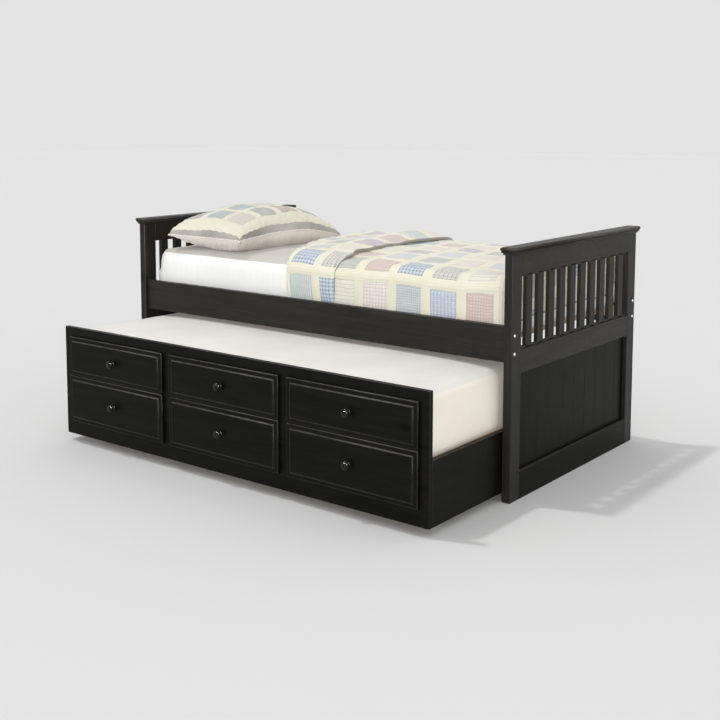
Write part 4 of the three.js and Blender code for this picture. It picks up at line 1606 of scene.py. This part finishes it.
@dataclass
class Pillow:
    """A quilted sham across the head of the bed: pieced on top, ribbed beneath, with a banded, piped seam."""

    length: float = 0.765
    width: float = 0.5
    centre: Triple = (-0.643, 0.139, 0.882)
    crown: float = 0.132
    belly: float = 0.078
    give: float = 0.008
    count: tuple[int, int] = (46, 68)
    arcs: Pair = (0.56, 0.80)
    band: float = 0.0145
    pitch: float = 0.155
    first_patch: float = 0.042
    rest_at: float = 0.829
    piping: float = 0.004
    rows: tuple[tuple[str, ...], ...] = (
        ("cream_ditsy", "slate_check", "lilac"),
        ("sage_check", "slate_check", "mist_blue"),
        ("rose_check", "cream_ditsy", "sage_check"),
        ("sage_check", "mist_blue", "rose_check"),
    )

    def build(self) -> None:
        """Builds the sham and its piping."""
        mesh = self.shell()
        dresses = [finish.material() for finish in (*PILLOW_PRINTS.values(), SHAM_BAND, SHAM_BACK)]
        piece = new_piece("pillow_sham", mesh, dresses)
        self.swell(piece)
        smooth = piece.modifiers.new("smooth", "SUBSURF")
        smooth.levels = smooth.render_levels = 1
        baked(piece)
        path = self.seam(piece)
        settle(piece, "bed_frame", "pillow_patchwork", "pillow")
        settle(new_piece("pillow_piping", tube(path, self.piping), [SHAM_BACK.material()]), "bed_frame",
               "pillow_patchwork")

    def place(self, a: float, b: float, side: float) -> Vector:
        """A point of the sham before it is swollen.

        Args:
            a: Its share across the sham, from -1 at the head to 1.
            b: Its share along the sham, from -1 at the front to 1.
            side: 1 on top, -1 beneath and 0 on the seam.

        Returns:
            The point.
        """
        corner = 1 - 0.035 * (a * b) ** 8
        bow_a = a * corner * (1 - 0.05 * (1 - b * b))
        bow_b = b * corner * (1 - 0.04 * (1 - a * a))
        full = max(0.0, (1 - a * a) * (1 - b * b)) ** 0.4 if side > 0 else self.plump(a, b)
        high = self.crown if side > 0 else self.belly * (0.45 + 0.55 * min(1.0, max(0.0, (a + 1) / 1.1)))
        point = Vector((bow_a * self.width / 2, bow_b * self.length / 2, side * high * full))
        point += Vector(self.centre)
        point.z += 0.022 * (1 - b * b) * a * a - 0.044 * max(0.0, b) ** 2 * (0.5 + 0.5 * a)
        point.z = max(point.z, self.rest_at) if side < 0 else point.z
        near = 1 - min(1.0, full / 0.9)
        wave = math.sin(150.0 * (point.x + point.y) + 2.5 * ripple(point, 11.0))
        gather = wave * near * 0.0055 * abs(side)
        return point + Vector((0, 0, 0.007 * ripple(point, 9.0, 3) * max(side, 0.0) + gather))

    def plump(self, a: float, b: float) -> float:
        """How full the lower side is: rounded at its corners, and square only at the seam.

        Args:
            a: Its share across the sham.
            b: Its share along the sham.

        Returns:
            The share of the full depth.
        """
        square = max(abs(a), abs(b))
        rounded = (abs(a) ** 4 + abs(b) ** 4) ** 0.25
        reach = square + (rounded - square) * (1 - square ** 6)
        return max(0.0, 1 - min(1.0, reach) ** 2.4) ** 0.5

    def cloth_at(self, i: float, j: float) -> Pair:
        """Cloth coordinates from the first patch, i steps from the head side and j from the front."""
        across, along = 1 - i / self.count[0], j / self.count[1]
        return across * self.arcs[0] - self.first_patch, along * self.arcs[1] - self.first_patch - 0.012

    def dress_at(self, i: float, j: float) -> int:
        """Which of the sham's materials a face of the upper panel has.

        Args:
            i: The middle of the face in steps across.
            j: The middle of the face in steps along.

        Returns:
            The material's place in the list.
        """
        names = list(PILLOW_PRINTS)
        if min(min(k, n - k) / n * arc for k, n, arc in zip((i, j), self.count, self.arcs)) < self.band:
            return len(names)
        column, row = (math.floor(part / self.pitch) for part in self.cloth_at(i, j))
        inside = 0 <= column < len(self.rows[0]) and 0 <= row < len(self.rows)
        return names.index(self.rows[row][column] if inside else "border")

    def shell(self) -> Mesh:
        """Two panels joined along the seam, with the pieced cloth's coordinates on the upper one.

        Returns:
            The mesh.
        """
        across, along = self.count
        vertices: list[Vector] = []
        index: dict[tuple[int, int, int], int] = {}
        for side, i, j in ((s, i, j) for s in (1, -1) for i in range(across + 1) for j in range(along + 1)):
            rim = i in (0, across) or j in (0, along)
            if rim and side < 0:
                index[(side, i, j)] = index[(1, i, j)]
                continue
            index[(side, i, j)] = len(vertices)
            vertices.append(self.place(2 * i / across - 1, 2 * j / along - 1, 0 if rim else side))
        faces, corners, dresses = [], [], []
        for side, i, j in ((s, i, j) for s in (1, -1) for i in range(across) for j in range(along)):
            ring = [(i, j), (i + 1, j), (i + 1, j + 1), (i, j + 1)][::side]
            faces.append([index[(side, *spot)] for spot in ring])
            corners += [self.cloth_at(*spot) for spot in ring]
            dresses.append(self.dress_at(i + 0.5, j + 0.5) if side > 0 else LOWER_PANEL)
        mesh = bpy.data.meshes.new("pillow")
        mesh.from_pydata([tuple(v) for v in vertices], [], faces)
        layer = mesh.uv_layers.new(name="cloth")
        layer.data.foreach_set("uv", np.array(corners, dtype=np.float32).ravel())
        mesh.polygons.foreach_set("material_index", dresses)
        mesh.polygons.foreach_set("use_smooth", [True] * len(faces))
        return mesh

    def swell(self, piece: Object) -> None:
        """Lets the sham swell under pressure, which wrinkles its seams, and caps how far a point moves.

        Args:
            piece: The sham.
        """
        rest = np.empty(3 * len(piece.data.vertices))
        piece.data.vertices.foreach_get("co", rest)
        cloth = piece.modifiers.new("cloth", "CLOTH")
        fabric = cloth.settings
        fabric.use_pressure = True
        fabric.uniform_pressure_force = 3.5
        fabric.quality = 6
        fabric.tension_stiffness = fabric.compression_stiffness = 22
        fabric.bending_stiffness = 0.3
        fabric.shrink_min = -0.03
        fabric.effector_weights.gravity = 0.0
        cloth.collision_settings.use_collision = False
        scene = bpy.context.scene
        for frame in range(1, 17):
            scene.frame_set(frame)
        baked(piece)
        scene.frame_set(1)
        moved = np.empty_like(rest)
        piece.data.vertices.foreach_get("co", moved)
        step = (moved - rest).reshape(-1, 3)
        far = np.linalg.norm(step, axis=1, keepdims=True)
        step *= np.minimum(1.0, self.give / np.maximum(far, 1e-9))
        result = rest.reshape(-1, 3) + step
        result[:, 2] = np.maximum(result[:, 2], self.rest_at - 0.002)
        piece.data.vertices.foreach_set("co", result.ravel())

    def seam(self, piece: Object) -> list[Vector]:
        """The path of the seam around the finished sham.

        Args:
            piece: The sham.

        Returns:
            The path's points, where the upper and lower cloth meet.
        """
        sides: dict[tuple[int, int], set[bool]] = {}
        for face in piece.data.polygons:
            for key in face.edge_keys:
                sides.setdefault(key, set()).add(face.material_index == LOWER_PANEL)
        links: dict[int, list[int]] = {}
        for (first, second), kinds in sides.items():
            if len(kinds) == 2:
                links.setdefault(first, []).append(second)
                links.setdefault(second, []).append(first)
        start = min(links)
        walk, before, here = [start], None, start
        while True:
            after = next(point for point in links[here] if point != before)
            if after == start:
                break
            walk.append(after)
            before, here = here, after
        return [piece.data.vertices[point].co.copy() for point in walk]


# ---------------------------------------------------------------- the studio


@dataclass(frozen=True)
class Paper(Finish):
    """Matt pale paper with a very faint mottle."""

    grey: float

    def surface(self, graph: Graph, place: Socket) -> Inputs:
        """Two close greys in soft patches."""
        tone = graph.blend(graph.noise(place, 2.0, 3.0), (self.grey,) * 3, (self.grey * 1.01,) * 3)
        return {"Base Color": tone, "Roughness": 0.9, "Specular IOR Level": 0.1}


@dataclass(frozen=True)
class Studio:
    """A pale floor, an even sky, a high soft sun and the camera."""

    floor_half: float = 40.0
    grey: float = 0.715
    sky: float = 0.77
    sun_power: float = 0.8
    sun_spread: float = 3.0
    sun_way: Triple = (0.34, 0.12, -0.94)
    fill_power: float = 1.15
    fill_way: Triple = (-0.55, 0.8, -0.2)
    fill_spread: float = 20.0
    box_power: float = 380.0
    box_size: float = 0.5
    box_aim: Triple = (0.0, -0.3, 0.4)
    boxes: tuple[Triple, ...] = ((-1.6, -5.6, 3.0), (1.4, -5.4, 4.6), (4.4, -3.0, 3.2))
    camera_at: Triple = (3.040, -3.8414, 1.429)
    camera_turn: Triple = (83.86, 0.03, 38.5)
    lens: float = 55.9
    shift: Pair = (0.0275, -0.1667)

    def build(self) -> None:
        """Builds the floor, the lights and the camera."""
        self.floor()
        self.sky_light()
        self.lights()
        self.camera()
        settings = bpy.context.scene.view_settings
        settings.view_transform = "Standard"
        settings.look = "None"

    def floor(self) -> None:
        """A wide plain floor."""
        h = self.floor_half
        mesh = bpy.data.meshes.new("floor")
        mesh.from_pydata([(-h, -h, 0), (h, -h, 0), (h, h, 0), (-h, h, 0)], [], [(0, 1, 2, 3)])
        new_piece("floor", mesh, [Paper("floor_paper", self.grey).material()])

    def sky_light(self) -> None:
        """An even pale sky."""
        world = bpy.data.worlds.new("sky")
        world.use_nodes = True
        back = world.node_tree.nodes["Background"]
        back.inputs["Color"].default_value = (1.0, 1.0, 1.0, 1.0)
        back.inputs["Strength"].default_value = self.sky
        bpy.context.scene.world = world

    @staticmethod
    def lamp(kind: str, name: str, place: Vector, way: Vector, **settings: float) -> Object:
        """Adds a light that shines one way.

        Args:
            kind: The light's type.
            name: Its name.
            place: Where it is.
            way: The way it shines.
            **settings: Properties of the light.

        Returns:
            The lamp.
        """
        light = bpy.data.lights.new(name, kind)
        for key, value in settings.items():
            setattr(light, key, value)
        lamp = bpy.data.objects.new(name, light)
        lamp.location = place
        lamp.rotation_euler = way.to_track_quat("-Z", "Y").to_euler()
        bpy.context.scene.collection.objects.link(lamp)
        return lamp

    def lights(self) -> None:
        """A high soft sun, and a weak fill and glinting softboxes that cast no shadow."""
        self.lamp("SUN", "sun", Vector(), Vector(self.sun_way), energy=self.sun_power,
                  angle=math.radians(self.sun_spread))
        self.lamp("SUN", "fill", Vector(), Vector(self.fill_way), energy=self.fill_power,
                  angle=math.radians(self.fill_spread), use_shadow=False)
        for index, place in enumerate(map(Vector, self.boxes)):
            box = self.lamp("AREA", f"softbox_{index}", place, Vector(self.box_aim) - place,
                            energy=self.box_power, size=self.box_size, use_shadow=False)
            box.visible_diffuse = False

    def camera(self) -> None:
        """The camera, level with the top of the bed."""
        lens = bpy.data.cameras.new("camera")
        lens.sensor_width = 36.0
        lens.lens = self.lens
        lens.shift_x, lens.shift_y = self.shift
        lens.clip_end = 200.0
        eye = bpy.data.objects.new("camera", lens)
        eye.location = self.camera_at
        eye.rotation_euler = tuple(math.radians(angle) for angle in self.camera_turn)
        bpy.context.scene.collection.objects.link(eye)
        bpy.context.scene.camera = eye


def main() -> None:
    """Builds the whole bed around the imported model."""
    logging.basicConfig(level=logging.INFO, format="%(message)s")
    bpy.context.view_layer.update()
    Studio().build()
    boards, parts = BoardRow(), PartRow()
    BedFrame(boards, parts).build()
    Trundle().build()
    Mattress("bed_mattress", SHEET_SHADED_TOP, SHEET, "bed_frame", "white_sheet").build()
    Mattress("trundle_mattress", TICKING, BORDER, "trundle", "mattress_ticking").build()
    Quilt().build()
    Pillow().build()


if __name__ == "__main__":
    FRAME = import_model()
    main()
